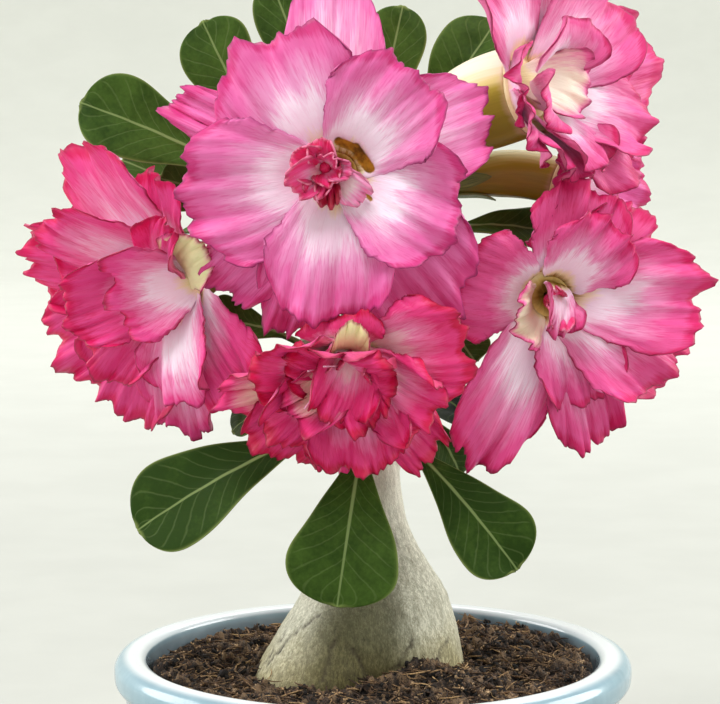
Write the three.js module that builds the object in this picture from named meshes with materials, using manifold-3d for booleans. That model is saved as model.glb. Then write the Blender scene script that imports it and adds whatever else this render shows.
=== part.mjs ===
// A desert rose (adenium) in a shallow glazed bowl, in millimetres, +Z up.
// The origin is the middle of the flat foot that the bowl stands on. The front of the plant faces -Y.
import * as THREE from "three";
import { mergeVertices } from "three/addons/utils/BufferGeometryUtils.js";
import Module from "manifold-3d";

const wasm = await Module();
wasm.setup();

// ---------- Driving dimensions ----------

const DEGREE = Math.PI / 180;
const GAP = 0.3; // between pieces that touch
const SMALLEST = 0.2; // facets flatter or narrower than this are merged
const PETAL_THICKNESS = 0.9;
const LEAF_THICKNESS = 1;
const STALK_RADIUS = 2.2; // of a flower's stalk
const PETIOLE_THICKNESS = 2.2;
const LEAF_STUB_RADIUS = 1.9;
const OUTER_GRID = [3, 4]; // rows and columns of facets in an outer petal
const INNER_GRID = [3, 3];
const LEAF_GRID = [6, 2];

const POT = {
  height: 58,
  rimRadius: 70,
  rimWidth: 9,
  rimDepth: 8,
  footRadius: 45,
  footDepth: 4,
  floor: 7,
  sides: 32,
};

const SOIL = { level: 53, lump: 1.1, rings: 5, sides: 28 };

// ---------- Small geometry helpers ----------

const vec = (x, y, z) => new THREE.Vector3(x, y, z);
const lerp = THREE.MathUtils.lerp;
const clamp = THREE.MathUtils.clamp;

// A geometry with merged vertices as a manifold-3d solid.
function solidFrom(geometry) {
  const plain = geometry.clone();
  plain.deleteAttribute("normal");
  plain.deleteAttribute("uv");
  const merged = mergeVertices(plain, 1e-4);
  return new wasm.Manifold(
    new wasm.Mesh({
      numProp: 3,
      vertProperties: new Float32Array(merged.attributes.position.array),
      triVerts: new Uint32Array(merged.index.array),
    }),
  );
}

function geometryFrom(solid) {
  const mesh = solid.getMesh();
  const geometry = new THREE.BufferGeometry();
  geometry.setAttribute("position", new THREE.BufferAttribute(mesh.vertProperties, 3));
  geometry.setIndex(new THREE.BufferAttribute(mesh.triVerts, 1));
  return geometry;
}

function solidOfFaces(points, faces) {
  return new wasm.Manifold(
    new wasm.Mesh({
      numProp: 3,
      vertProperties: new Float32Array(points.flatMap((p) => [p.x, p.y, p.z])),
      triVerts: new Uint32Array(faces.flat()),
    }),
  );
}

// Joins solids, fills the hollows that joining seals, and drops loose scraps.
function fuse(solids) {
  const joined = solids.reduce((all, next) => all.add(next)).simplify(SMALLEST);
  return joined.decompose().reduce((a, b) => (b.volume() > a.volume() ? b : a));
}

// A thin closed blade: pointAt(t, s) gives its middle surface for t in 0..1 and s in -1..1.
function blade(pointAt, thicknessAt, rows, columns) {
  const step = 1e-3;
  const across = columns + 1;
  const front = [];
  const back = [];
  for (let i = 0; i <= rows; i++) {
    for (let j = 0; j <= columns; j++) {
      const t = i / rows;
      const s = (2 * j) / columns - 1;
      const alongT = pointAt(Math.min(t + step, 1), s).sub(pointAt(Math.max(t - step, 0), s));
      const alongS = pointAt(t, Math.min(s + step, 1)).sub(pointAt(t, Math.max(s - step, -1)));
      const half = alongT.cross(alongS).normalize().multiplyScalar(thicknessAt(t) / 2);
      const middle = pointAt(t, s);
      front.push(middle.clone().add(half));
      back.push(middle.clone().sub(half));
    }
  }
  const count = front.length;
  const faces = [];
  const quad = (a, b, c, d) => faces.push([a, b, c], [a, c, d]);
  for (let i = 0; i < rows; i++) {
    for (let j = 0; j < columns; j++) {
      const a = i * across + j;
      const [b, c, d] = [a + 1, a + across + 1, a + across];
      const halves = (i + j) % 2 ? [[a, d, b], [b, d, c]] : [[a, d, c], [a, c, b]];
      for (const [p, q, r] of halves) {
        faces.push([p, q, r], [p + count, r + count, q + count]);
      }
    }
  }
  const last = rows * across;
  for (let j = 0; j < columns; j++) {
    quad(j, j + 1, j + 1 + count, j + count);
    quad(last + j + 1, last + j, last + j + count, last + j + 1 + count);
  }
  for (let i = 0; i < rows; i++) {
    const a = i * across;
    quad(a + across, a, a + count, a + across + count);
    const b = a + columns;
    quad(b, b + across, b + across + count, b + count);
  }
  return solidOfFaces([...front, ...back], faces);
}

// A closed tube through rings of points, each ring the same length, with flat fans for its ends.
function loft(rings) {
  const sides = rings[0].length;
  const middleOf = (ring) => ring.reduce((sum, p) => sum.add(p), vec(0, 0, 0)).divideScalar(sides);
  const points = [...rings.flat(), middleOf(rings[0]), middleOf(rings.at(-1))];
  const [first, last] = [points.length - 2, points.length - 1];
  const top = (rings.length - 1) * sides;
  const faces = [];
  for (let j = 0; j < sides; j++) {
    const next = (j + 1) % sides;
    for (let i = 0; i + 1 < rings.length; i++) {
      const low = i * sides;
      faces.push([low + j, low + next, low + sides + next], [low + j, low + sides + next, low + sides + j]);
    }
    faces.push([first, next, j], [last, top + j, top + next]);
  }
  return solidOfFaces(points, faces);
}

// Rings round a curve, with radiusAt(t) for each; they start square to the curve at both ends.
function ringsAlong(curve, radiusAt, steps, sides) {
  const frames = curve.computeFrenetFrames(steps, false);
  return Array.from({ length: steps + 1 }, (_, i) => {
    const t = i / steps;
    const centre = curve.getPointAt(t);
    return Array.from({ length: sides }, (_, j) => {
      const turn = (2 * Math.PI * j) / sides;
      return centre
        .clone()
        .addScaledVector(frames.normals[i], radiusAt(t) * Math.cos(turn))
        .addScaledVector(frames.binormals[i], radiusAt(t) * Math.sin(turn));
    });
  });
}

// The value at t of a line through evenly spaced values.
function along(values, t) {
  const place = clamp(t, 0, 1) * (values.length - 1);
  const index = Math.min(Math.floor(place), values.length - 2);
  return lerp(values[index], values[index + 1], place - index);
}

// ---------- Bowl and soil ----------

// The inside of the wall, from the floor's edge up to the rim, as [radius, height].
function innerWall() {
  const innerRim = POT.rimRadius - POT.rimWidth;
  return [
    [POT.footRadius - 4, POT.floor],
    [POT.footRadius + 3, POT.floor + 5],
    [innerRim - 6, POT.height * 0.4],
    [innerRim - 1.5, POT.height * 0.66],
    [innerRim, POT.height - 5],
    [innerRim + 0.6, POT.height - 1],
  ];
}

function potSolid() {
  const { height, rimRadius, rimDepth, footRadius, footDepth } = POT;
  const outside = [
    [0, 0],
    [footRadius - 0.8, 0],
    [footRadius, 0.8],
    [footRadius, footDepth],
    [footRadius + 4, footDepth + 3],
    [rimRadius - 9, height * 0.4],
    [rimRadius - 4.5, height * 0.62],
    [rimRadius - 2.6, height - rimDepth - 1],
    [rimRadius - 0.8, height - rimDepth],
    [rimRadius, height - rimDepth + 1.6],
    [rimRadius, height - 3],
    [rimRadius - 1.4, height - 0.8],
    [rimRadius - 4, height],
    [rimRadius - 7, height - 0.2],
  ];
  const profile = [...outside, ...innerWall().reverse(), [0, POT.floor]];
  return solidFrom(
    new THREE.LatheGeometry(profile.map(([r, z]) => new THREE.Vector2(r, z)), POT.sides).rotateX(Math.PI / 2),
  );
}

// The top of the soil: heaped a little at the back right, and lumpy all over.
function soilHeight(x, y) {
  const heap = 2.4 * Math.exp(-((x - 38) ** 2 + (y - 22) ** 2) / 900);
  const lumps = Math.sin(0.31 * x + 1.3) * Math.sin(0.37 * y) + 0.6 * Math.sin(0.83 * x - 0.57 * y);
  return SOIL.level + heap + SOIL.lump * lumps;
}

// The soil fills the bowl, and the trunk's foot stands in a hole in it.
function soilSolid() {
  const wall = innerWall().map(([r, z]) => [r - GAP * 1.4, z + GAP]);
  const wallTop = wall.findLastIndex(([, z]) => z < SOIL.level - 3);
  const ring = (radius, heightAt) =>
    Array.from({ length: SOIL.sides }, (_, j) => {
      const turn = (2 * Math.PI * j) / SOIL.sides;
      const [x, y] = [radius * Math.cos(turn), radius * Math.sin(turn)];
      return vec(x, y, heightAt(x, y));
    });
  const rings = wall.slice(0, wallTop + 1).map(([r, z]) => ring(r, () => z));
  const edge = POT.rimRadius - POT.rimWidth - 1.2;
  for (let i = 0; i < SOIL.rings; i++) {
    rings.push(ring(edge * (1 - i / SOIL.rings), soilHeight));
  }
  return loft(rings).subtract(trunkSolid(1.2 * GAP));
}

// ---------- Swollen trunk and its branches ----------

// The trunk's middle line and mean radius, from its buried foot to the fork.
const TRUNK = [
  { z: 36, x: -3, radius: 24 },
  { z: 44, x: -3, radius: 27.5 },
  { z: 51, x: -3, radius: 27.5 },
  { z: 58, x: -2.5, radius: 25.8 },
  { z: 66, x: -1.2, radius: 23.2 },
  { z: 74, x: 0, radius: 19.6 },
  { z: 82, x: 0.4, radius: 14.6 },
  { z: 90, x: 0.6, radius: 10 },
  { z: 98, x: 1, radius: 7.4 },
  { z: 107, x: 1, radius: 6.3 },
  { z: 117, x: 0, radius: 6.2 },
  { z: 123, x: 0, radius: 4 },
];

// Root legs: where each swells from the trunk's foot, and the hollow between the front two.
const LEGS = [
  { turn: 222, swell: 0.2, spread: 34 },
  { turn: 330, swell: 0.08, spread: 26 },
  { turn: 40, swell: 0.06, spread: 40 },
  { turn: 135, swell: 0.1, spread: 36 },
  { turn: 283, swell: -0.24, spread: 24 },
];

// The trunk below the fork; the margin makes it that much larger all round.
function trunkSolid(margin = 0) {
  const sides = 20;
  const rings = TRUNK.map(({ z, x, radius }, level) =>
    Array.from({ length: sides }, (_, j) => {
      const turn = (360 * j) / sides;
      const low = clamp((84 - z) / 34, 0, 1) ** 1.5;
      const swell = LEGS.reduce((sum, leg) => {
        const away = Math.abs(((turn - leg.turn + 540) % 360) - 180);
        return sum + leg.swell * Math.exp(-((away / leg.spread) ** 2));
      }, 0);
      const grain = 1 + 0.02 * Math.sin(3 * turn * DEGREE + z / 9);
      const reach = radius * (1 + low * swell) * grain + margin;
      const height = level === 0 ? z - margin : z;
      return vec(x + reach * Math.cos(turn * DEGREE), reach * Math.sin(turn * DEGREE), height);
    }),
  );
  return loft(rings);
}

// Branches, each through its points, with the radius at its foot and at its tip.
const BRANCHES = {
  middle: { points: [[0, 0, 106], [-1, 0, 130], [-4, 2, 154], [-6, 5, 180]], radii: [6, 4.4] },
  left: { points: [[0, 1, 108], [-6, 4, 128], [-16, 8, 150], [-24, 10, 178]], radii: [6, 4.2] },
  right: { points: [[1, 1, 108], [5, 5, 130], [8, 9, 152], [9, 12, 176]], radii: [6, 4.4] },
  rear: { points: [[0, 3, 110], [-1, 9, 132], [-3, 16, 156], [-4, 20, 180]], radii: [5.5, 4] },
};

const curveOf = (points) => new THREE.CatmullRomCurve3(points.map((p) => vec(...p)));

function branchSolid({ points, radii }) {
  const radiusAt = (t) => lerp(radii[0], radii[1], t) * (t > 0.95 ? 0.75 : 1);
  return loft(ringsAlong(curveOf(points), radiusAt, 6, 8));
}

// The point nearest to a place on the middle line of a branch, a little way below that place.
function rootOnBranch(branch, place) {
  const points = curveOf(BRANCHES[branch].points).getSpacedPoints(40);
  const target = place.clone().add(vec(0, 0, -4));
  return points.reduce((a, b) => (b.distanceTo(target) < a.distanceTo(target) ? b : a));
}

// A short stub on a branch, that a stalk starts from: it ends just behind the place, square to the stalk.
function stubSolid(branch, place, direction, radius) {
  const root = rootOnBranch(branch, place);
  const end = place.clone().addScaledVector(direction, -GAP);
  const bend = end.clone().addScaledVector(direction, -0.45 * root.distanceTo(end));
  const curve = new THREE.QuadraticBezierCurve3(root, bend, end);
  return loft(ringsAlong(curve, (t) => radius * lerp(1.25, 1, t), 2, 5));
}

function plantSolid() {
  const stubs = [
    ...Object.values(FLOWERS).map(({ branch, stalk, leave }) =>
      stubSolid(branch, vec(...stalk), vec(...leave).normalize(), STALK_RADIUS + 0.2),
    ),
    ...Object.values(LEAVES).map((leaf) => {
      const start = leafPoint(leaf, 0, 0);
      const direction = leafPoint(leaf, 0.01, 0).sub(start).normalize();
      return stubSolid(leaf[0], start, direction, LEAF_STUB_RADIUS);
    }),
  ];
  return fuse([trunkSolid(), ...Object.values(BRANCHES).map(branchSolid), ...stubs]);
}

// ---------- Flowers ----------

// A frame for a flower: its throat's middle, the way it faces, and its right and top as seen from the front.
function flowerFrame({ at, facing }) {
  const out = vec(...facing).normalize();
  const right = vec(0, 0, 1).cross(out).normalize();
  const top = out.clone().cross(right);
  const toWorld = (x, y, z) =>
    vec(...at)
      .addScaledVector(right, x)
      .addScaledVector(top, y)
      .addScaledVector(out, z);
  return { out, toWorld };
}

// How far along its length a petal's margin lies, for s across it: blunt, with a small point.
function marginAt(s, blunt) {
  const shoulder = Math.pow(1 - Math.pow(Math.abs(s), 3), 0.6);
  const point = 0.05 * Math.exp(-((s - 0.12) ** 2) / 0.02);
  return lerp(blunt, 1, shoulder) + point - 0.05;
}

// A petal's middle surface in its flower's frame, for t from root to margin and s across it.
// A petal is a row of: the way it points round the flower, its reach out and its tip's height,
// its half width, the lean of its blade, its cupping, its waviness, the wave's phase, and its crest.
function petalPoint(petal, root, t, s) {
  const [turn, reach, tip, half, tilt, cup, wave, phase, crest] = petal;
  const l = t * marginAt(s, 0.62);
  const m = 1 - l;
  const bend = lerp(root.radius, reach, 0.38);
  const r = m * m * root.radius + 2 * m * l * bend + l * l * reach;
  const z = m * m * root.z + 2 * m * l * crest + l * l * tip;
  const dr = 2 * m * (bend - root.radius) + 2 * l * (reach - bend);
  const dz = 2 * m * (crest - root.z) + 2 * l * (tip - crest);
  const slope = Math.atan2(dz, dr);
  const widen = Math.pow(t, 0.8) * (1.35 - 0.35 * t * t);
  const y = s * lerp(root.half, half, widen);
  const lean = tilt * DEGREE * Math.min(1, 1.6 * t);
  const edge = t * t * (0.3 + 0.7 * Math.max(s * s, t ** 4));
  const fine = Math.sin(Math.PI * 3.3 * s + 2.1 * phase + 6 * t);
  const ruffle = Math.sin(Math.PI * 1.9 * s + phase) + 0.7 * fine;
  const up = cup * half * s * s * t + 2.1 * wave * edge * ruffle + y * Math.sin(lean);
  const side = y * Math.cos(lean);
  const a = turn * DEGREE;
  const radial = r - up * Math.sin(slope);
  return [
    radial * Math.cos(a) - side * Math.sin(a),
    radial * Math.sin(a) + side * Math.cos(a),
    z + up * Math.cos(slope),
  ];
}

const COLLAR_DEPTH = 6; // of the solid ring that the petals grow from
const PIT_DEPTH = 4.4; // of the throat in it

function petalSolid(frame, petal, root, rows, columns) {
  return blade(
    (t, s) => frame.toWorld(...petalPoint(petal, root, t, s)),
    () => PETAL_THICKNESS,
    rows,
    columns,
  );
}

// A solid turned about the flower's own axis, from a profile of [radius, height].
function turned(frame, profile, sides) {
  const basis = [frame.toWorld(1, 0, 0), frame.toWorld(0, 1, 0), frame.toWorld(0, 0, 1)];
  const origin = frame.toWorld(0, 0, 0);
  const matrix = new THREE.Matrix4().makeBasis(...basis.map((p) => p.sub(origin))).setPosition(origin);
  return solidFrom(
    new THREE.LatheGeometry(profile.map(([r, z]) => new THREE.Vector2(r, z)), sides)
      .rotateX(Math.PI / 2)
      .applyMatrix4(matrix),
  );
}

// The lobes of the flower and the throat that they grow from.
function corollaSolid(flower) {
  const frame = flowerFrame(flower);
  const r = flower.throat;
  const pit = r * 0.5;
  const back = -COLLAR_DEPTH;
  const front = [[r + 0.6, -2.8], [r - 0.6, -1.6], [pit + 0.7, -2.2], [pit, -PIT_DEPTH], [0, -PIT_DEPTH]];
  const profile = [[0, back], [r, back], ...front];
  const outerRoot = { radius: r - 1.6, z: -2.8, half: 4.6 };
  const innerRoot = { radius: pit + 1, z: -3.2, half: 3.6 };
  return fuse([
    turned(frame, profile, 9),
    ...flower.outer.map((p) => petalSolid(frame, p, outerRoot, ...OUTER_GRID)),
    ...flower.inner.map((p) => petalSolid(frame, p, innerRoot, ...INNER_GRID)),
  ]);
}

// The small curled crimson pieces in the middle, on a short cone that stands in the throat.
function centreSolid(flower) {
  const frame = flowerFrame(flower);
  const low = GAP - PIT_DEPTH;
  const cone = turned(frame, [[0, low], [2.4, low], [1.6, -0.5], [0, 2]], 7);
  const root = { radius: 0.8, z: -2.4, half: 1.4 };
  return fuse([cone, ...flower.centre.map((p) => petalSolid(frame, p, root, 2, 3))]);
}

// The corolla tube with its calyx and stalk, from the stub on the branch to the collar's back.
function tubeSolid(flower) {
  const frame = flowerFrame(flower);
  const end = frame.toWorld(0, 0, -COLLAR_DEPTH - GAP);
  const start = vec(...flower.stalk);
  const reach = start.distanceTo(end);
  const curve = new THREE.CubicBezierCurve3(
    start,
    start.clone().addScaledVector(vec(...flower.leave).normalize(), reach * 0.3),
    end.clone().addScaledVector(frame.out, -reach * 0.45),
    end,
  );
  const radii = [STALK_RADIUS, 2.4, 4.1, ...flower.tube, flower.throat];
  const radiusAt = (t) => along(radii, t);
  return loft(ringsAlong(curve, radiusAt, 7, 9));
}

const FLOWERS = {
  front: {
    at: [-9.6, -36, 189.5], facing: [-0.04, -1, 0.02], throat: 8, tube: [3.9, 4.6, 5.8, 7],
    branch: "middle", stalk: [-7, -2, 177], leave: [-0.1, -1, 0.3],
    outer: [
      [91, 51, -12, 13, 0, 0.1, 0.5, 0.4, 5],
      [24, 43, -9, 14, 0, 0.1, 0.6, 2.0, 5],
      [-50, 47, -8, 18, 0, 0.1, 1.0, 1.0, 5],
      [-108, 45, -9, 11, 0, 0.1, 0.8, 3.0, 5],
      [-136, 45, -11, 12, 0, 0.1, 0.8, 4.0, 5],
      [157, 48, -9, 8, 0, 0.1, 0.8, 5.0, 5],
    ],
    inner: [
      [121, 40, -3, 19, 0, 0.15, 0.9, 0.0, 5],
      [52, 34, 3, 16, 0, 0.2, 0.9, 1.3, 6],
      [-20, 34, 1, 17, -10, 0.2, 1.0, 2.2, 6],
      [-93, 38, 3, 17, -9, 0.15, 1.1, 3.1, 5],
      [191, 40, -1, 19, -9, 0.15, 0.9, 4.4, 5],
    ],
    centre: [
      [165, 9, 6, 5, 0, 0.7, 0.3, 0, 5],
      [300, 5, 7, 4, 0, 0.7, 0.3, 1, 4],
      [50, 4, 8, 3.5, 0, 0.6, 0.3, 4, 4],
    ],
  },
  left: {
    at: [-53.5, -14, 160], facing: [-0.62, -0.76, -0.22], throat: 8, tube: [3.9, 4.6, 6.2, 7.6],
    branch: "left", stalk: [-22, 3.5, 164], leave: [-0.5, -0.8, 0.1],
    outer: [
      [131, 45, 5, 19, -9, 0.1, 1.0, 0.4, 5],
      [172, 48, 9, 14, -9, 0.1, 1.2, 2.0, 5],
      [209, 49, 7, 15, -9, 0.1, 1.0, 1.0, 5],
      [236, 48, 4, 16, -9, 0.1, 1.0, 2.6, 5],
      [265, 44, 4, 14, -9, 0.1, 1.0, 3.0, 5],
      [302, 38, 1, 14, -9, 0.1, 0.8, 4.0, 5],
      [97, 30, 4, 10, -9, 0.1, 0.8, 4.0, 5],
    ],
    inner: [
      [152, 36, 12, 14, -9, 0.2, 1.0, 0.0, 8],
      [195, 26, 16, 12, -9, 0.5, 1.0, 1.3, 8],
      [228, 34, 10, 12, -10, 0.3, 1.0, 2.2, 8],
      [285, 32, 6, 12, -9, 0.2, 1.0, 3.1, 8],
    ],
    centre: [],
  },
  low: {
    at: [-7, -36, 140.5], facing: [-0.02, -0.9, -0.42], throat: 7, tube: [3.9, 4.4, 5.2, 6.2],
    branch: "middle", stalk: [-2, -7, 146], leave: [0, -1, 0.2],
    outer: [
      [200, 35, 0, 9, -9, 0.1, 1.0, 0.4, 5],
      [236, 37, 0, 14, -9, 0.1, 1.0, 2.0, 5],
      [269, 36, 0, 11, -9, 0.1, 1.0, 1.0, 5],
      [306, 38, 0, 11, -9, 0.1, 1.0, 3.0, 5],
      [14, 33, 2, 15, -9, 0.1, 0.8, 4.0, 5],
      [98, 13, -2, 12, -9, 0.1, 0.4, 4.0, 3],
    ],
    inner: [
      [170, 24, 8, 12, -9, 0.3, 1.2, 0.0, 8],
      [225, 26, 7, 12, -9, 0.3, 1.2, 1.3, 8],
      [285, 27, 8, 13, -9, 0.3, 1.2, 2.2, 8],
      [340, 26, 8, 12, -9, 0.3, 1.2, 3.1, 8],
    ],
    centre: [
      [200, 8, 7, 5, 0, 0.7, 0.4, 0, 5],
      [320, 8, 7, 5, 0, 0.7, 0.4, 1, 5],
    ],
  },
  right: {
    at: [48.1, -15, 155.6], facing: [0.28, -0.95, -0.05], throat: 8, tube: [3.9, 4.6, 5.8, 7],
    branch: "right", stalk: [17, 5, 166], leave: [0.5, -0.8, 0.1],
    outer: [
      [74, 32, 0, 13, -9, 0.1, 0.8, 0.4, 5],
      [38, 34, -3, 13, -9, 0.1, 0.8, 2.0, 5],
      [-24, 43, -3, 16, -9, 0.1, 0.9, 1.0, 5],
      [-72, 44, -2, 11, -9, 0.1, 0.9, 3.0, 5],
      [-116, 50, -2, 13, -9, 0.1, 0.7, 4.0, 5],
      [168, 29, 2, 15, -9, 0.1, 0.9, 5.0, 5],
    ],
    inner: [
      [3, 40, 4, 15, -9, 0.2, 0.9, 0.0, 8],
      [-32, 38, 4, 15, -8, 0.2, 0.9, 1.3, 8],
      [-70, 30, 6, 13, -9, 0.2, 1.0, 2.2, 8],
      [60, 25, 7, 12, -9, 0.2, 1.0, 3.1, 8],
      [200, 16, 10, 9, -9, 0.4, 0.8, 4.4, 8],
    ],
    centre: [
      [250, 7, 8, 4, 0, 0.7, 0.4, 0, 5],
    ],
  },
  upper: {
    at: [46, -6, 211], facing: [0.8, -0.55, 0.22], throat: 12, tube: [6.5, 11, 12.4, 12.6],
    branch: "middle", stalk: [-2.5, 4.5, 187.5], leave: [0.8, -0.1, 0.6],
    outer: [
      [180, 22, 6, 11, -9, 0.1, 1.0, 0.4, 5],
      [118, 42, 0, 14, -9, 0.1, 1.0, 2.0, 5],
      [70, 42, 0, 17, -9, 0.1, 1.0, 1.0, 5],
      [10, 50, 9, 15, -9, 0.1, 1.0, 3.0, 5],
      [-42, 38, 9, 15, -9, 0.1, 1.0, 4.0, 5],
      [-100, 26, 9, 14, -9, 0.1, 0.8, 5.0, 6],
      [-142, 26, 7, 11, -9, 0.1, 1.0, 5.0, 5],
    ],
    inner: [
      [40, 37, 9, 16, -9, 0.2, 1.0, 0.0, 8],
      [-20, 36, 9, 15, -9, 0.2, 1.0, 1.3, 8],
      [-80, 25, 11, 13, -9, 0.2, 0.9, 2.2, 8],
    ],
    centre: [],
  },
  rear: {
    at: [56, 16, 183], facing: [0.9, -0.34, -0.25], throat: 6.5, tube: [5.2, 6.4, 6.6, 6.6],
    branch: "right", stalk: [12.5, 12.5, 181.5], leave: [0.9, 0, 0.35],
    outer: [
      [75, 14, -2, 9, -9, 0.1, 0.4, 0.4, 4],
      [18, 37, 8, 14, -9, 0.1, 0.7, 2.0, 5],
      [-38, 37, 5, 16, -9, 0.1, 1.0, 1.0, 5],
      [-98, 34, 0, 15, -9, 0.1, 1.0, 3.0, 5],
      [-158, 32, 2, 15, -9, 0.1, 1.0, 4.0, 5],
      [142, 17, -1, 10, -9, 0.1, 0.5, 4.0, 4],
    ],
    inner: [
      [-6, 29, 12, 12, -9, 0.2, 0.8, 0.0, 8],
      [-72, 27, 8, 14, -9, 0.2, 1.0, 1.3, 8],
    ],
    centre: [],
  },
};

// ---------- Leaves ----------

// A leaf's width at t along it, as a share of its widest: a thin stalk, then a blade with a broad round end.
function leafWidth(t) {
  const place = clamp((t - 0.08) / 0.92, 0, 1);
  const blade = 1.5 * Math.pow(place, 1.25) * Math.pow(Math.max(1 - Math.pow(place, 6), 0), 0.55);
  return clamp(blade, 0.09, 1.08);
}

// A leaf's middle surface, for t from the stalk's start to the tip and s across it.
function leafPoint([, start, tip, face, half, arch, fold], t, s) {
  const axis = vec(...tip).sub(vec(...start));
  const side = axis.clone().cross(vec(...face)).normalize();
  const top = side.clone().cross(axis).normalize();
  const y = s * half * leafWidth(t);
  const rise = 4 * (1 - t) * t * arch + Math.abs(y) * Math.sin(fold * DEGREE);
  return vec(...start)
    .addScaledVector(axis, t)
    .addScaledVector(side, y * Math.cos(fold * DEGREE))
    .addScaledVector(top, rise);
}

function leafSolid(leaf) {
  const spaced = (t) => 1 - Math.pow(1 - t, 1.5); // more rows towards the rounded tip
  const thickness = (t) => lerp(PETIOLE_THICKNESS, LEAF_THICKNESS, Math.min(1, 3 * t));
  return blade((t, s) => leafPoint(leaf, spaced(t), s), thickness, ...LEAF_GRID);
}

// Each leaf: its branch, its stalk's start, its tip, the way its upper face looks,
// half its width, how far it arches, and how far its halves fold up, in degrees.
const LEAVES = {
  upper_left: ["left", [-28, 9, 182], [-77.4, -4, 206.5], [0.1, -1, 0.5], 12.5, 4, 12],
  top_left: ["left", [-23, 15, 186], [-46, 16, 228], [-0.3, -1, 0.2], 11, 4, 12],
  left: ["left", [-26, 18, 170], [-69, 23, 190], [0, -1, 0.6], 7, 2, 12],
  left_edge: ["left", [-29, 13, 178], [-57.5, 8, 186], [0, -1, 0.1], 8, 1, 12],
  top_middle: ["rear", [-7, 22, 184], [-28, 28, 239], [0, -1, 0.2], 9, 4, 12],
  top: ["rear", [-2, 18, 184], [8, 14, 232], [0, -1, 0.2], 9, 4, 16],
  top_right: ["rear", [10, 25, 183], [34.0, 27, 227.9], [-0.5, -1, 0.2], 12, 4, 16],
  right: ["right", [15, 19, 170], [52, 22, 169], [0, -0.7, 0.7], 8, 4, 12],
  right_low: ["right", [16, 9, 153], [28, 10, 136], [0, -1, 0], 7, 3, 12],
  left_middle: ["left", [-20, 4, 142], [-45.6, 0, 148], [0, -0.8, 0.6], 8, 3, 12],
  low_left_edge: ["left", [-14, 1, 126], [-37.5, -4, 118.7], [0, -0.4, 1], 8, 4, 12],
  low_left: ["left", [-8, -4, 121], [-62, -18, 94.5], [0, -0.8, 0.6], 14, 5, 10],
  low_front: ["middle", [-2, -8, 122], [-9.3, -30, 76.6], [0, -1, 0.3], 15.5, 6, 8],
  low_right: ["right", [6, -5, 119], [38, -20, 84.4], [0, -0.9, 0.5], 12, 5, 10],
  right_hanging: ["right", [11, 6, 126], [24, 14, 104], [0.3, -1, 0.2], 7, 3, 12],
  back_top: ["rear", [-7, 27, 183], [-16, 62, 204], [0, -0.4, 1], 12, 5, 12],
  back_right: ["rear", [5, 25, 171], [26, 58, 190], [0, -0.3, 1], 12, 5, 12],
  back_left: ["left", [-23, 18, 160], [-56, 44, 168], [0, -0.3, 1], 12, 5, 12],
  back_low_right: ["rear", [4, 13, 130], [30, 46, 112], [0, 0.4, 1], 13, 5, 10],
  back_low_left: ["rear", [-6, 13, 134], [-36, 46, 118], [0, 0.4, 1], 13, 5, 10],
};

// ---------- Assembly ----------

const materials = {
  glaze: new THREE.MeshStandardMaterial({ color: 0xb4cbdb, roughness: 0.2 }),
  soil: new THREE.MeshStandardMaterial({ color: 0x3d2a20, roughness: 0.95 }),
  bark: new THREE.MeshStandardMaterial({ color: 0xa8a492, roughness: 0.8 }),
  petal: new THREE.MeshStandardMaterial({ color: 0xe8579a, roughness: 0.55 }),
  tube: new THREE.MeshStandardMaterial({ color: 0xb9ae5c, roughness: 0.55 }),
  centre: new THREE.MeshStandardMaterial({ color: 0xc22750, roughness: 0.6 }),
  leaf: new THREE.MeshStandardMaterial({ color: 0x2c5a1c, roughness: 0.35 }),
};

const plant = new THREE.Group();

function addPiece(name, solid, material) {
  const mesh = new THREE.Mesh(geometryFrom(solid), material);
  mesh.name = name;
  plant.add(mesh);
}

addPiece("pot", potSolid(), materials.glaze);
addPiece("soil", soilSolid(), materials.soil);
addPiece("trunk", plantSolid(), materials.bark);
for (const [name, flower] of Object.entries(FLOWERS)) {
  addPiece(`flower_${name}_petals`, corollaSolid(flower), materials.petal);
  addPiece(`flower_${name}_tube`, tubeSolid(flower), materials.tube);
  if (flower.centre.length) {
    addPiece(`flower_${name}_centre`, centreSolid(flower), materials.centre);
  }
}
for (const [name, leaf] of Object.entries(LEAVES)) {
  addPiece(`leaf_${name}`, leafSolid(leaf), materials.leaf);
}

export default plant;
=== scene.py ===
"""A desert rose (adenium) with six double blooms in a shallow glazed bowl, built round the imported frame.

Lengths are in millimetres in the tables and functions here, and in metres in the Blender meshes.
"""

import math

import bmesh
import bpy
import numpy as np
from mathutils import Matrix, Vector, noise


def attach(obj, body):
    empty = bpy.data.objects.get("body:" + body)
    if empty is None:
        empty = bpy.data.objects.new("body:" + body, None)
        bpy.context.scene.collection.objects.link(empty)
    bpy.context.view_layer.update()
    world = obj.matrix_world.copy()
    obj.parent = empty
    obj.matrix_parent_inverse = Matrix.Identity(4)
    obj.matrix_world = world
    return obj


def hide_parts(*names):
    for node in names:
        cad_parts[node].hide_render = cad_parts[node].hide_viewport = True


MM = 0.001
DEGREE = math.pi / 180
# the room between a stalk and the stub that carries it
GAP = 0.3
# the value that a petal's deepest colour has
DEEPEST = 1.5
# where a lobe's foot is in its flower's frame
PETAL_FOOT = -5.4
# the share of a tube's length at which its sepals start
CALYX = 0.24
# leaves whose tips hang lower than this get painted shade, as they hang under the blooms
SHADE_BELOW = 120
# a way that no line of a sweep runs along
FIRST_SIDE = (0.123, 0.9, 0.3)
# what a petal's seed starts from in each layer
LAYER_SEEDS = {"outer": 0, "inner": 500, "extra": 900}

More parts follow.
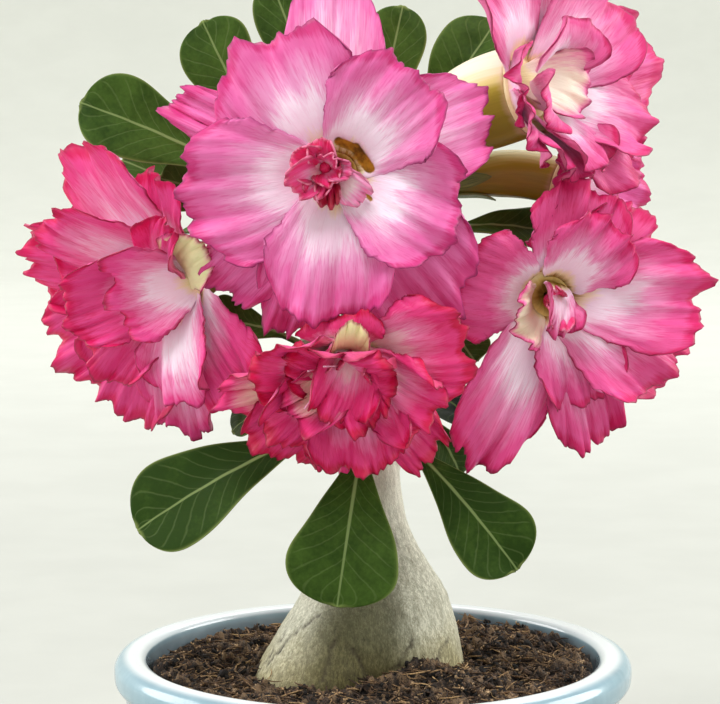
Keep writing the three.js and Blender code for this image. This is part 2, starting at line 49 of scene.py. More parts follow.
# Waves of a petal as (count, size): its end's teeth, its sides' nicks, its crimped hem and its pleats.
TEETH = ((5, 0.026), (11, 0.018), (25, 0.008), (47, 0.006))
NICKS = ((9, 0.022), (19, 0.016), (43, 0.01))
CRIMPS = ((12, 0.5), (21, 0.4), (37, 0.25))
PLEATS = ((6, 0.4), (11, 0.35), (19, 0.25), (33, 0.12))

# ---------- Tables of the plant's measures, the same as the solids have ----------

# A flower has: its middle and the way it faces, the radius of its throat, the radii along its tube,
# the branch that it grows on, and the place where its stalk starts and the way the stalk leaves.
# A petal is a row of: the way it points round the flower, its reach out and its tip's height,
# its half width, the lean of its blade, its cupping, its waviness, the wave's phase, and its crest.
FLOWERS = {
    "front": dict(
        at=[-9.6, -36, 189.5], facing=[-0.04, -1, 0.02], throat=8, tube=[3.9, 4.6, 5.8, 7],
        branch="middle", stalk=[-7, -2, 177], leave=[-0.1, -1, 0.3],
        outer=[
            [91, 51, -12, 13, 0, 0.1, 0.5, 0.4, 5], [24, 43, -9, 14, 0, 0.1, 0.6, 2, 5],
            [-50, 47, -8, 18, 0, 0.1, 1, 1, 5], [-108, 45, -9, 11, 0, 0.1, 0.8, 3, 5],
            [-136, 45, -11, 12, 0, 0.1, 0.8, 4, 5], [157, 48, -9, 8, 0, 0.1, 0.8, 5, 5],
        ],
        inner=[
            [121, 40, -3, 19, 0, 0.15, 0.9, 0, 5], [52, 34, 3, 16, 0, 0.2, 0.9, 1.3, 6],
            [-20, 34, 1, 17, -10, 0.2, 1, 2.2, 6], [-93, 38, 3, 17, -9, 0.15, 1.1, 3.1, 5],
            [191, 40, -1, 19, -9, 0.15, 0.9, 4.4, 5],
        ],
        centre=[
            [165, 9, 6, 5, 0, 0.7, 0.3, 0, 5], [300, 5, 7, 4, 0, 0.7, 0.3, 1, 4],
            [50, 4, 8, 3.5, 0, 0.6, 0.3, 4, 4],
        ],
    ),
    "left": dict(
        at=[-53.5, -14, 160], facing=[-0.62, -0.76, -0.22], throat=8, tube=[3.9, 4.6, 6.2, 7.6],
        branch="left", stalk=[-22, 3.5, 164], leave=[-0.5, -0.8, 0.1],
        outer=[
            [131, 45, 5, 19, -9, 0.1, 1, 0.4, 5], [172, 48, 9, 14, -9, 0.1, 1.2, 2, 5],
            [209, 49, 7, 15, -9, 0.1, 1, 1, 5], [236, 48, 4, 16, -9, 0.1, 1, 2.6, 5],
            [265, 44, 4, 14, -9, 0.1, 1, 3, 5], [302, 38, 1, 14, -9, 0.1, 0.8, 4, 5],
            [97, 30, 4, 10, -9, 0.1, 0.8, 4, 5],
        ],
        inner=[
            [152, 36, 12, 14, -9, 0.2, 1, 0, 8], [195, 26, 16, 12, -9, 0.5, 1, 1.3, 8],
            [228, 34, 10, 12, -10, 0.3, 1, 2.2, 8], [285, 32, 6, 12, -9, 0.2, 1, 3.1, 8],
        ],
        centre=[],
    ),
    "low": dict(
        at=[-7, -36, 140.5], facing=[-0.02, -0.9, -0.42], throat=7, tube=[3.9, 4.4, 5.2, 6.2],
        branch="middle", stalk=[-2, -7, 146], leave=[0, -1, 0.2],
        outer=[
            [200, 35, 0, 9, -9, 0.1, 1, 0.4, 5], [236, 37, 0, 14, -9, 0.1, 1, 2, 5],
            [269, 36, 0, 11, -9, 0.1, 1, 1, 5], [306, 38, 0, 11, -9, 0.1, 1, 3, 5],
            [14, 33, 2, 15, -9, 0.1, 0.8, 4, 5], [98, 13, -2, 12, -9, 0.1, 0.4, 4, 3],
        ],
        inner=[
            [170, 24, 8, 12, -9, 0.3, 1.2, 0, 8], [225, 26, 7, 12, -9, 0.3, 1.2, 1.3, 8],
            [285, 27, 8, 13, -9, 0.3, 1.2, 2.2, 8], [340, 26, 8, 12, -9, 0.3, 1.2, 3.1, 8],
        ],
        centre=[
            [200, 8, 7, 5, 0, 0.7, 0.4, 0, 5], [320, 8, 7, 5, 0, 0.7, 0.4, 1, 5],
        ],
    ),
    "right": dict(
        at=[48.1, -15, 155.6], facing=[0.28, -0.95, -0.05], throat=8, tube=[3.9, 4.6, 5.8, 7],
        branch="right", stalk=[17, 5, 166], leave=[0.5, -0.8, 0.1],
        outer=[
            [74, 32, 0, 13, -9, 0.1, 0.8, 0.4, 5], [38, 34, -3, 13, -9, 0.1, 0.8, 2, 5],
            [-24, 43, -3, 16, -9, 0.1, 0.9, 1, 5], [-72, 44, -2, 11, -9, 0.1, 0.9, 3, 5],
            [-116, 50, -2, 13, -9, 0.1, 0.7, 4, 5], [168, 29, 2, 15, -9, 0.1, 0.9, 5, 5],
        ],
        inner=[
            [3, 40, 4, 15, -9, 0.2, 0.9, 0, 8], [-32, 38, 4, 15, -8, 0.2, 0.9, 1.3, 8],
            [-70, 30, 6, 13, -9, 0.2, 1, 2.2, 8], [60, 25, 7, 12, -9, 0.2, 1, 3.1, 8],
            [200, 16, 10, 9, -9, 0.4, 0.8, 4.4, 8],
        ],
        centre=[
            [250, 7, 8, 4, 0, 0.7, 0.4, 0, 5],
        ],
    ),
    "upper": dict(
        at=[46, -6, 211], facing=[0.8, -0.55, 0.22], throat=12, tube=[6.5, 11, 12.4, 12.6],
        branch="middle", stalk=[-2.5, 4.5, 187.5], leave=[0.8, -0.1, 0.6],
        outer=[
            [180, 22, 6, 11, -9, 0.1, 1, 0.4, 5], [118, 42, 0, 14, -9, 0.1, 1, 2, 5],
            [70, 42, 0, 17, -9, 0.1, 1, 1, 5], [10, 50, 9, 15, -9, 0.1, 1, 3, 5],
            [-42, 38, 9, 15, -9, 0.1, 1, 4, 5], [-100, 26, 9, 14, -9, 0.1, 0.8, 5, 6],
            [-142, 26, 7, 11, -9, 0.1, 1, 5, 5],
        ],
        inner=[
            [40, 37, 9, 16, -9, 0.2, 1, 0, 8], [-20, 36, 9, 15, -9, 0.2, 1, 1.3, 8],
            [-80, 25, 11, 13, -9, 0.2, 0.9, 2.2, 8],
        ],
        centre=[],
    ),
    "rear": dict(
        at=[56, 16, 183], facing=[0.9, -0.34, -0.25], throat=6.5, tube=[5.2, 6.4, 6.6, 6.6],
        branch="right", stalk=[12.5, 12.5, 181.5], leave=[0.9, 0, 0.35],
        outer=[
            [75, 14, -2, 9, -9, 0.1, 0.4, 0.4, 4], [18, 37, 8, 14, -9, 0.1, 0.7, 2, 5],
            [-38, 37, 5, 16, -9, 0.1, 1, 1, 5], [-98, 34, 0, 15, -9, 0.1, 1, 3, 5],
            [-158, 32, 2, 15, -9, 0.1, 1, 4, 5], [142, 17, -1, 10, -9, 0.1, 0.5, 4, 4],
        ],
        inner=[
            [-6, 29, 12, 12, -9, 0.2, 0.8, 0, 8], [-72, 27, 8, 14, -9, 0.2, 1, 1.3, 8],
        ],
        centre=[],
    ),
}

# A leaf is a row of: its branch, where its stalk starts, its tip, the way its face looks,
# its half width, the height of its arch, and how far its halves are folded up, in degrees.
LEAVES = {
    "upper_left": ["left", [-28, 9, 182], [-77.4, -4, 206.5], [0.1, -1, 0.5], 12.5, 4, 12],
    "top_left": ["left", [-23, 15, 186], [-46, 16, 228], [-0.3, -1, 0.2], 11, 4, 12],
    "left": ["left", [-26, 18, 170], [-69, 23, 190], [0, -1, 0.6], 7, 2, 12],
    "left_edge": ["left", [-29, 13, 178], [-57.5, 8, 186], [0, -1, 0.1], 8, 1, 12],
    "top_middle": ["rear", [-7, 22, 184], [-28, 28, 239], [0, -1, 0.2], 9, 4, 12],
    "top": ["rear", [-2, 18, 184], [8, 14, 232], [0, -1, 0.2], 9, 4, 16],
    "top_right": ["rear", [10, 25, 183], [34, 27, 227.9], [-0.5, -1, 0.2], 12, 4, 16],
    "right": ["right", [15, 19, 170], [52, 22, 169], [0, -0.7, 0.7], 8, 4, 12],
    "right_low": ["right", [16, 9, 153], [28, 10, 136], [0, -1, 0], 7, 3, 12],
    "left_middle": ["left", [-20, 4, 142], [-45.6, 0, 148], [0, -0.8, 0.6], 8, 3, 12],
    "low_left_edge": ["left", [-14, 1, 126], [-37.5, -4, 118.7], [0, -0.4, 1], 8, 4, 12],
    "low_left": ["left", [-8, -4, 121], [-62, -18, 94.5], [0, -0.8, 0.6], 14, 5, 10],
    "low_front": ["middle", [-2, -8, 122], [-9.3, -30, 76.6], [0, -1, 0.3], 15.5, 6, 8],
    "low_right": ["right", [6, -5, 119], [38, -20, 84.4], [0, -0.9, 0.5], 12, 5, 10],
    "right_hanging": ["right", [11, 6, 126], [24, 14, 104], [0.3, -1, 0.2], 7, 3, 12],
    "back_top": ["rear", [-7, 27, 183], [-16, 62, 204], [0, -0.4, 1], 12, 5, 12],
    "back_right": ["rear", [5, 25, 171], [26, 58, 190], [0, -0.3, 1], 12, 5, 12],
    "back_left": ["left", [-23, 18, 160], [-56, 44, 168], [0, -0.3, 1], 12, 5, 12],
    "back_low_right": ["rear", [4, 13, 130], [30, 46, 112], [0, 0.4, 1], 13, 5, 10],
    "back_low_left": ["rear", [-6, 13, 134], [-36, 46, 118], [0, 0.4, 1], 13, 5, 10],
}

# The trunk's middle line and mean radius, as (height, x, radius).
TRUNK = [
    (36, -3, 24), (44, -3, 27.5), (51, -3, 27.5), (58, -2.5, 25.8), (66, -1.2, 23.2), (74, 0, 19.6),
    (82, 0.4, 14.6), (90, 0.6, 10), (98, 1, 7.4), (107, 1, 6.3), (117, 0, 6.2), (123, 0, 4),
]

# Root legs and the hollow between the front two, as (turn, swell, spread).
LEGS = [(222, 0.2, 34), (330, 0.08, 26), (40, 0.06, 40), (135, 0.1, 36), (283, -0.24, 24)]

# Branches: their points, and the radius at foot and tip.
BRANCHES = {
    "middle": ([[0, 0, 106], [-1, 0, 130], [-4, 2, 154], [-6, 5, 180]], (6, 4.4)),
    "left": ([[0, 1, 108], [-6, 4, 128], [-16, 8, 150], [-24, 10, 178]], (6, 4.2)),
    "right": ([[1, 1, 108], [5, 5, 130], [8, 9, 152], [9, 12, 176]], (6, 4.4)),
    "rear": ([[0, 3, 110], [-1, 9, 132], [-3, 16, 156], [-4, 20, 180]], (5.5, 4)),
}

# The bowl's section, as (radius, height), outside from the foot up and inside from the rim down.
BOWL_OUTSIDE = [
    (44.2, 0), (45, 0.8), (45, 4), (49, 7), (55.5, 14.5), (61, 23.2), (65.5, 36), (67.4, 49), (69.2, 50),
    (70, 51.6), (70, 55), (68.6, 57.2), (66, 58), (63, 57.8),
]
BOWL_INSIDE = [(61.6, 57), (61, 53), (59.5, 38.3), (55, 23.2), (48, 12), (41, 7)]
SOIL_LEVEL = 53
SOIL_RADIUS = 59.6

# ---------- Small geometry helpers ----------


def unit(v):
    v = np.asarray(v, float)
    return v / np.maximum(np.linalg.norm(v, axis=-1, keepdims=True), 1e-9)


def lerp(a, b, t):
    return a + (b - a) * t


def smooth(low, high, x):
    """0 below low, 1 above high, and an even slope between."""
    t = np.clip((x - low) / (high - low), 0, 1)
    return t * t * (3 - 2 * t)


def wobble(x, seed, waves):
    """A seeded sum of sines over x, for waves of (count, size)."""
    rng = np.random.default_rng(seed)
    return sum(size * np.sin(count * x + rng.uniform(0, 2 * math.pi)) for count, size in waves)


def perlin(points, scale, octaves=3):
    """Fractal noise at points in mm, one value each, for features about 1/scale mm wide."""
    flat = np.reshape(points, (-1, 3)) * scale
    values = [noise.fractal(Vector(p), 1.0, 2.0, octaves) for p in flat]
    return np.reshape(values, np.shape(points)[:-1])


def even_out(values, weights):
    """Each value's weighted mean with its neighbours."""
    return np.convolve(np.pad(values, len(weights) // 2, mode="edge"), weights / weights.sum(), mode="valid")


def circle(sides):
    """The angle of each of so many points round a circle."""
    return np.arange(sides) * 2 * math.pi / sides


def turned(radius, height, sides):
    """Rings of points round the upright axis; radius and height are given for each ring or for each point."""
    turn = circle(sides)
    radius, height = (np.reshape(values, (len(values), -1)) for values in (radius, height))
    return np.stack(np.broadcast_arrays(radius * np.cos(turn), radius * np.sin(turn), height), -1)


def grid(rows, columns):
    """Two grids of numbers: one changes from row to row, the other from column to column."""
    return np.meshgrid(rows, columns, indexing="ij")


def along_line(points, count):
    """So many points on the straight lines that join points, evenly spaced by point number."""
    points = np.asarray(points, float)
    place = np.linspace(0, len(points) - 1, count)
    return np.stack([np.interp(place, np.arange(len(points)), column) for column in points.T], -1)


def show(name, data):
    """A new object for a mesh, lamp or camera, in the scene."""
    obj = bpy.data.objects.new(name, data)
    bpy.context.scene.collection.objects.link(obj)
    return obj


def show_mesh(name, mesh, materials):
    """A new object for a mesh with smooth faces and these materials."""
    mesh.polygons.foreach_set("use_smooth", np.ones(len(mesh.polygons), bool))
    for material in materials:
        mesh.materials.append(material)
    mesh.update()
    return show(name, mesh)


def paint_points(mesh, key, values):
    """A named value for each point, for the materials to read."""
    mesh.attributes.new(key, "FLOAT", "POINT").data.foreach_set("value", values)


def aim(obj, ahead):
    """Turns a camera or lamp to look ahead, with its top up."""
    obj.rotation_mode = "QUATERNION"
    obj.rotation_quaternion = Vector(ahead).to_track_quat("-Z", "Y")


class Skin:
    """The points and faces of one object's mesh, with its surface coordinates and painted values."""

    def __init__(self):
        self.points, self.faces, self.corners, self.slots = [], [], [], []
        self.paint = {}
        self.count = 0

    def add_faces(self, faces, corners, slot, start):
        """Faces as equal-length rows of point numbers that count from start, with surface coordinates."""
        self.faces.append(np.asarray(faces) + start)
        self.corners.append(np.reshape(corners, (-1, 2)))
        self.slots.append(np.full(len(faces), slot))

    def add(self, points, faces, corners, slot=0, **paint):
        """Points, with lists of face blocks and of their surface coordinates, and values painted on them."""
        points = np.reshape(points, (-1, 3))
        self.points.append(points)
        for block, coordinates in zip(faces, corners):
            self.add_faces(block, coordinates, slot, self.count)
        for key, value in paint.items():
            self.paint.setdefault(key, []).append((self.count, np.broadcast_to(value, len(points))))
        self.count += len(points)

    def build(self, name, materials):
        mesh = bpy.data.meshes.new(name)
        faces = [row for block in self.faces for row in block.tolist()]
        mesh.from_pydata((np.concatenate(self.points) * MM).tolist(), [], faces)
        mesh.uv_layers.new(name="UVMap").data.foreach_set("uv", np.concatenate(self.corners).ravel())
        mesh.polygons.foreach_set("material_index", np.concatenate(self.slots))
        for key, parts in self.paint.items():
            values = np.zeros(self.count)
            for start, part in parts:
                values[start : start + len(part)] = part
            paint_points(mesh, key, values)
        return show_mesh(name, mesh, materials)


def grid_faces(rows, columns, wrap=False):
    """Quads of a grid of points and their surface coordinates; wrap joins the last column to the first."""
    i, j = (a.ravel() for a in grid(np.arange(rows), np.arange(columns)))
    across = columns if wrap else columns + 1
    after = (j + 1) % across
    low, high = i * across, (i + 1) * across
    quads = np.stack([low + j, low + after, high + after, high + j], -1)
    u, v = j / columns, i / rows
    du, dv = 1 / columns, 1 / rows
    corners = np.stack([(u, v), (u + du, v), (u + du, v + dv), (u, v + dv)], 0).transpose(2, 0, 1)
    return quads, corners


def add_blade(skin, middle, front, back, slots=(0, 0), **paint):
    """A slim closed blade round a grid of middle points, with its depths in front of and behind them."""
    rows, columns = middle.shape[0] - 1, middle.shape[1] - 1
    normal = unit(np.cross(np.gradient(middle, axis=0), np.gradient(middle, axis=1)))
    faces, corners = grid_faces(rows, columns)
    size = (rows + 1) * (columns + 1)
    number = np.arange(size).reshape(rows + 1, columns + 1)
    rim = np.concatenate([number[0, :-1], number[:-1, -1], number[-1, :0:-1], number[:0:-1, 0]])
    after = np.roll(rim, -1)
    uv = np.stack([(rim % (columns + 1)) / columns, (rim // (columns + 1)) / rows], -1)
    uv_after = np.roll(uv, -1, axis=0)
    points = np.stack([middle + normal * front[..., None], middle - normal * back[..., None]])
    paint = {k: np.tile(np.broadcast_to(v, middle.shape[:2]).ravel(), 2) for k, v in paint.items()}
    paint["back"] = np.repeat([0.0, 1.0], size)
    start = skin.count
    skin.add(points, [faces[:, ::-1]], [corners[:, ::-1]], slots[0], **paint)
    skin.add_faces(faces + size, corners, slots[1], start)
    sides = np.stack([rim, after, after + size, rim + size], -1)
    skin.add_faces(sides, np.stack([uv, uv_after, uv_after, uv], 1), slots[0], start)


def add_tube(skin, rings, slot=0, **paint):
    """A closed tube through rings of points, with fans for its ends."""
    rings = np.asarray(rings)
    count, sides = rings.shape[:2]
    quads, corners = grid_faces(count - 1, sides, wrap=True)
    ends = [rings[0].mean(0), rings[-1].mean(0)]
    total = count * sides
    step = np.arange(sides)
    after = (step + 1) % sides
    low = np.stack([np.full(sides, total), after, step], -1)
    high = np.stack([np.full(sides, total + 1), total - sides + step, total - sides + after], -1)
    low_uv = np.repeat(np.stack([step / sides, 0 * step], -1)[:, None], 3, axis=1)
    values = {}
    for key, value in paint.items():
        value = np.broadcast_to(value, (count, sides))
        values[key] = np.append(value.ravel(), [value[0].mean(), value[-1].mean()])
    points = np.concatenate([rings.reshape(-1, 3), ends])
    skin.add(points, [quads, low, high], [corners, low_uv, low_uv + [0, 1]], slot, **values)


def sweep(points, radii, sides):
    """Rings round a line of points, each turned as little as can be from the one before it."""
    points = np.asarray(points, float)
    tangent = unit(np.gradient(points, axis=0))
    side = np.array(FIRST_SIDE)
    turn = circle(sides)
    rings = []
    for place, ahead, radius in zip(points, tangent, radii):
        side = unit(side - ahead * side.dot(ahead))
        other = np.cross(ahead, side)
        rings.append(place + radius * (np.outer(np.cos(turn), side) + np.outer(np.sin(turn), other)))
    return np.array(rings)


def bezier(points, t):
    """The point at each t of a Bezier curve of any order."""
    layers = [np.asarray(p, float) for p in points]
    while len(layers) > 1:
        layers = [a + (b - a) * t[..., None] for a, b in zip(layers, layers[1:])]
    return layers[0]


def through(points, count):
    """So many points, evenly spaced, on a smooth curve through points."""
    p = np.asarray(points, float)
    p = np.concatenate([[2 * p[0] - p[1]], p, [2 * p[-1] - p[-2]]])
    place = np.linspace(0, 1, count) * (len(p) - 3)
    k = np.minimum(place.astype(int), len(p) - 4)
    x = (place - k)[:, None]
    a, b, c, d = p[k], p[k + 1], p[k + 2], p[k + 3]
    return 0.5 * (2 * b + (c - a) * x + (2 * a - 5 * b + 4 * c - d) * x**2 + (3 * b - a - 3 * c + d) * x**3)


# ---------- Materials ----------


def srgb(*values):
    """A linear colour from red, green and blue as a screen shows them, 0 to 255."""
    c = [v / 255 for v in values]
    return (*[x / 12.92 if x <= 0.04045 else ((x + 0.055) / 1.055) ** 2.4 for x in c], 1)


class Surface:
    """A material's node tree, with short names for what it is made of; colours are as a screen shows them."""

    def __init__(self, name, flesh=None, **settings):
        """flesh is how far red, green and blue light spread inside a soft petal, in mm."""
        self.material = bpy.data.materials.new(name)
        self.material.use_nodes = True
        self.tree = self.material.node_tree
        self.shader = self.tree.nodes["Principled BSDF"]
        if flesh:
            settings |= {"Subsurface_Weight": 0.1, "Subsurface_Scale": 1 * MM, "Subsurface_Radius": flesh}
        for key, value in settings.items():
            self.shader.inputs[key.replace("_", " ")].default_value = value

    def put(self, socket, value):
        if isinstance(value, bpy.types.NodeSocket):
            self.tree.links.new(value, socket)
        else:
            socket.default_value = value

    def node(self, kind, *values, output=0, **settings):
        """A new node with these inputs and settings, as the one of its outputs that is used."""
        made = self.tree.nodes.new("ShaderNode" + kind)
        for key, value in settings.items():
            setattr(made, key, value)
        for index, value in enumerate(values):
            if value is not None:
                self.put(made.inputs[index], value)
        return made.outputs[output]

    def attribute(self, name):
        """A value that is painted on the points."""
        return self.node("Attribute", output=2, attribute_name=name)

    def uv(self, across, along, offset=None):
        """The surface coordinates stretched by so much, moved by an offset along the third axis."""
        split = self.node("SeparateXYZ", self.node("TexCoord", output=2))
        x = self.times(split, across)
        y = self.times(split.node.outputs[1], along)
        return self.node("CombineXYZ", x, y, offset)

    def place(self, scale=1):
        """Where the point is in the object's own frame, in mm, times one scale or a scale for each way."""
        scale = [way / MM for way in np.broadcast_to(scale, 3)]
        return self.node("Mapping", self.node("TexCoord", output=3), None, None, scale)

    def noise(self, vector, detail, roughness=0.55):
        made = self.node("TexNoise", vector)
        for key, value in (("Scale", 1.0), ("Detail", detail), ("Roughness", roughness)):
            made.node.inputs[key].default_value = value
        return made

    def calc(self, operation, *values, clamp=False):
        return self.node("Math", *values, operation=operation, use_clamp=clamp)

    def times(self, a, b):
        return self.calc("MULTIPLY", a, b)

    def plus(self, base, value, share):
        """base with so much of a value added."""
        return self.calc("MULTIPLY_ADD", value, share, base)

    def stir(self, base, *grains):
        """base moved up and down by noises, as (noise, share) each."""
        for grain, share in grains:
            base = self.plus(base, self.calc("SUBTRACT", grain, 0.5), share)
        return base

    def spread(self, value, low, high, new_low=0.0, new_high=1.0):
        """A soft step from new_low to new_high, for a value between low and high."""
        return self.node("MapRange", value, low, high, new_low, new_high, interpolation_type="SMOOTHSTEP")

    def mix(self, share, a, b, blend="MIX"):
        """The colour a with so large a share of the colour b."""
        made = self.node("Mix", share, data_type="RGBA", blend_type=blend, output=2)
        for index, colour in ((6, a), (7, b)):
            self.put(made.node.inputs[index], srgb(*colour) if isinstance(colour, tuple) else colour)
        return made

    def ramp(self, value, *stops, ease="EASE"):
        """A colour for each value, from stops of (place, colour)."""
        made = self.node("ValToRGB", value)
        band = made.node.color_ramp
        band.interpolation = ease
        while len(band.elements) < len(stops):
            band.elements.new(0.5)
        for element, (position, colour) in zip(band.elements, stops):
            element.position = position
            element.color = srgb(*colour)
        return made

    def finish(self, colour, roughness=None, height=None, strength=0.5, distance=0.3):
        """The material, with a bump so many mm high."""
        self.put(self.shader.inputs["Base Color"], colour)
        if roughness is not None:
            self.put(self.shader.inputs["Roughness"], roughness)
        if height is not None:
            bump = self.node("Bump", strength, distance * MM)
            self.put(bump.node.inputs["Height"], height)
            self.put(self.shader.inputs["Normal"], bump)
        return self.material


def petal_material(name, root, throat, pale, light, pink, deep, rim):
    """Streaked petal: pale at its foot, deeper pink towards a narrow toothed margin, and olive with painted
    shade in the hollows by the throat.
    """
    s = Surface(name, (1.0, 0.6, 0.8), Roughness=0.5, Specular_IOR_Level=0.3)
    seed = s.attribute("seed")
    broad = s.noise(s.uv(8, 1.2, seed), 2)
    streak = s.noise(s.uv(26, 3.2, seed), 3)
    vein = s.noise(s.uv(100, 8, seed), 2)
    shake = s.stir(0.0, (streak, 0.28), (broad, 0.55), (vein, 0.3))
    blush = s.attribute("blush")
    reach = s.plus(blush, shake, s.spread(blush, 0.0, 0.5, 0.25, 1.0))
    colour = s.ramp(
        s.calc("DIVIDE", reach, DEEPEST, clamp=True), (0.0, root), (0.05, throat), (0.13, pale), (0.31, pale),
        (0.46, light), (0.7, pink), (0.86, pink), (1.0, deep), ease="LINEAR")
    patch = s.noise(s.place(0.07), 3)
    colour = s.mix(s.spread(patch, 0.35, 0.75, 0.0, 0.25), colour, pink, "MULTIPLY")
    line = s.times(s.spread(vein, 0.5, 0.66, 0.0, 0.24), s.spread(reach, 0.2, 0.9, 0.25, 1.0))
    colour = s.mix(line, colour, pink, "MULTIPLY")
    colour = s.mix(s.times(s.attribute("back"), 0.35), colour, light)
    colour = s.mix(s.times(s.attribute("cream"), s.spread(reach, 0.5, 1.0, 1.0, 0.0)), colour, CREAMY)
    # painted shade: the hollows by the throat are olive, golden to dark, the throat's own olive in shade
    hollow_mottle = s.noise(s.place(0.3), 4)
    olive = s.ramp(hollow_mottle, (0.35, (98, 66, 8)), (0.65, (188, 134, 34)))
    hollow = s.stir(s.attribute("pocket"), (hollow_mottle, 0.8))
    colour = s.mix(s.spread(hollow, 0.2, 0.7), colour, olive)
    edge = s.times(s.attribute("rim"), s.spread(streak, 0.3, 0.6, 0.4, 1.0))
    colour = s.mix(edge, colour, rim)
    return s.finish(colour, s.spread(vein, 0.2, 0.8, 0.42, 0.62), s.plus(streak, vein, 0.5), 0.55, 0.35)


def throat_material():
    """The funnel in the middle: cream at its mouth, olive and brown lines further in."""
    s = Surface("throat", (1.0, 0.9, 0.6), Roughness=0.5)
    line = s.noise(s.uv(16, 1.2), 3)
    depth = s.stir(s.attribute("depth"), (line, 0.6))
    colour = s.ramp(depth, (0.0, (240, 222, 172)), (0.3, (214, 184, 104)), (0.6, (150, 108, 26)),
                    (1.0, (92, 58, 12)), ease="LINEAR")
    return s.finish(colour, s.spread(line, 0.2, 0.8, 0.4, 0.6), line, 0.4, 0.3)


def curl_material():
    """The curled pieces in the middle of a flower: crimson, whitish towards their feet, with edges that
    change from dark crimson to pale pink.
    """
    s = Surface("curl", (1.0, 0.6, 0.7), Roughness=0.45)
    streak = s.noise(s.uv(14, 1.5, s.attribute("seed")), 3)
    reach = s.stir(s.attribute("blush"), (streak, 0.7))
    pink = s.ramp(reach, (0.0, (248, 218, 228)), (0.25, (242, 156, 202)), (0.5, (236, 82, 150)),
                  (0.8, (226, 36, 108)), (1.0, (176, 22, 58)), ease="LINEAR")
    edge = s.mix(s.spread(streak, 0.4, 0.6), (150, 30, 60), (240, 150, 184))
    colour = s.mix(s.times(s.attribute("rim"), 0.7), pink, edge)
    return s.finish(colour, s.spread(streak, 0.2, 0.8, 0.35, 0.6), streak, 0.5, 0.3)


def tube_material():
    """A flower's tube: green at its foot, olive yellow with long streaks, pink at its top, and painted light
    that makes its upper side cream.
    """
    s = Surface("tube", (1.0, 0.95, 0.6), Roughness=0.45)
    seed = s.attribute("seed")
    streak = s.noise(s.uv(22, 1.4, seed), 3)
    line = s.noise(s.uv(60, 1.2, seed), 2)
    shade = s.stir(0.0, (line, 0.3), (streak, 0.5))
    # painted light: the more the tube's face looks up, the lighter its colour, up to cream; less of it on the
    # rear tube
    upward = s.node("SeparateXYZ", s.node("NewGeometry", output=1), output=2)
    painted_top_light = s.times(s.spread(upward, -0.5, 0.85), s.attribute("sun"))
    body = s.ramp(s.calc("ADD", painted_top_light, shade), (0.0, (128, 118, 14)), (0.4, (172, 156, 42)),
                  (0.7, (222, 206, 128)), (1.0, (246, 236, 210)), ease="LINEAR")
    along = s.plus(s.attribute("along"), shade, 0.2)
    green = s.ramp(streak, (0.3, (74, 104, 40)), (0.75, (128, 150, 66)))
    colour = s.mix(s.spread(along, 0.2, 0.42, 1.0, 0.0), body, green)
    colour = s.mix(s.spread(along, 0.94, 1.0, 0.0, 0.2), colour, (236, 186, 190))
    return s.finish(colour, s.spread(line, 0.2, 0.8, 0.35, 0.55), streak, 0.45, 0.35)


def leaf_material(name, dark, green, vein, rough):
    """A leaf's upper or under side, with its midrib and side veins."""
    s = Surface(name, Roughness=rough, Specular_IOR_Level=0.08)
    away = s.calc("ABSOLUTE", s.attribute("side"))
    mottle = s.noise(s.place(0.09), 4)
    fine = s.noise(s.place(0.9), 3)
    # painted shade: leaves that hang low under the blooms are darker by the value painted on them
    tone = s.plus(s.plus(s.times(mottle, 0.75), fine, 0.3), s.attribute("old"), -0.11)
    colour = s.ramp(tone, (0.28, dark), (0.75, green))
    # side veins leave the midrib at a slant and curve forward
    along = s.attribute("along")
    bent = s.plus(along, s.calc("POWER", away, 0.8), -0.22)
    wave = s.calc("SINE", s.plus(s.times(mottle, 5.0), bent, 74.0))
    rib = s.times(s.spread(wave, 0.86, 1.0), s.spread(away, 0.75, 1.0, 1.0, 0.0))
    colour = s.mix(s.times(rib, 0.11), colour, vein)
    middle = s.spread(s.attribute("away"), 0.25, 0.75, 1.0, 0.0)
    colour = s.mix(s.times(middle, s.spread(along, 0.2, 1.0, 0.9, 0.55)), colour, vein)
    colour = s.mix(s.times(s.attribute("rim"), 0.55), colour, (146, 160, 92))
    height = s.plus(s.times(rib, -0.6), fine, 0.25)
    return s.finish(colour, s.spread(fine, 0.2, 0.8, rough - 0.06, rough + 0.12), height, 0.35, 0.3)


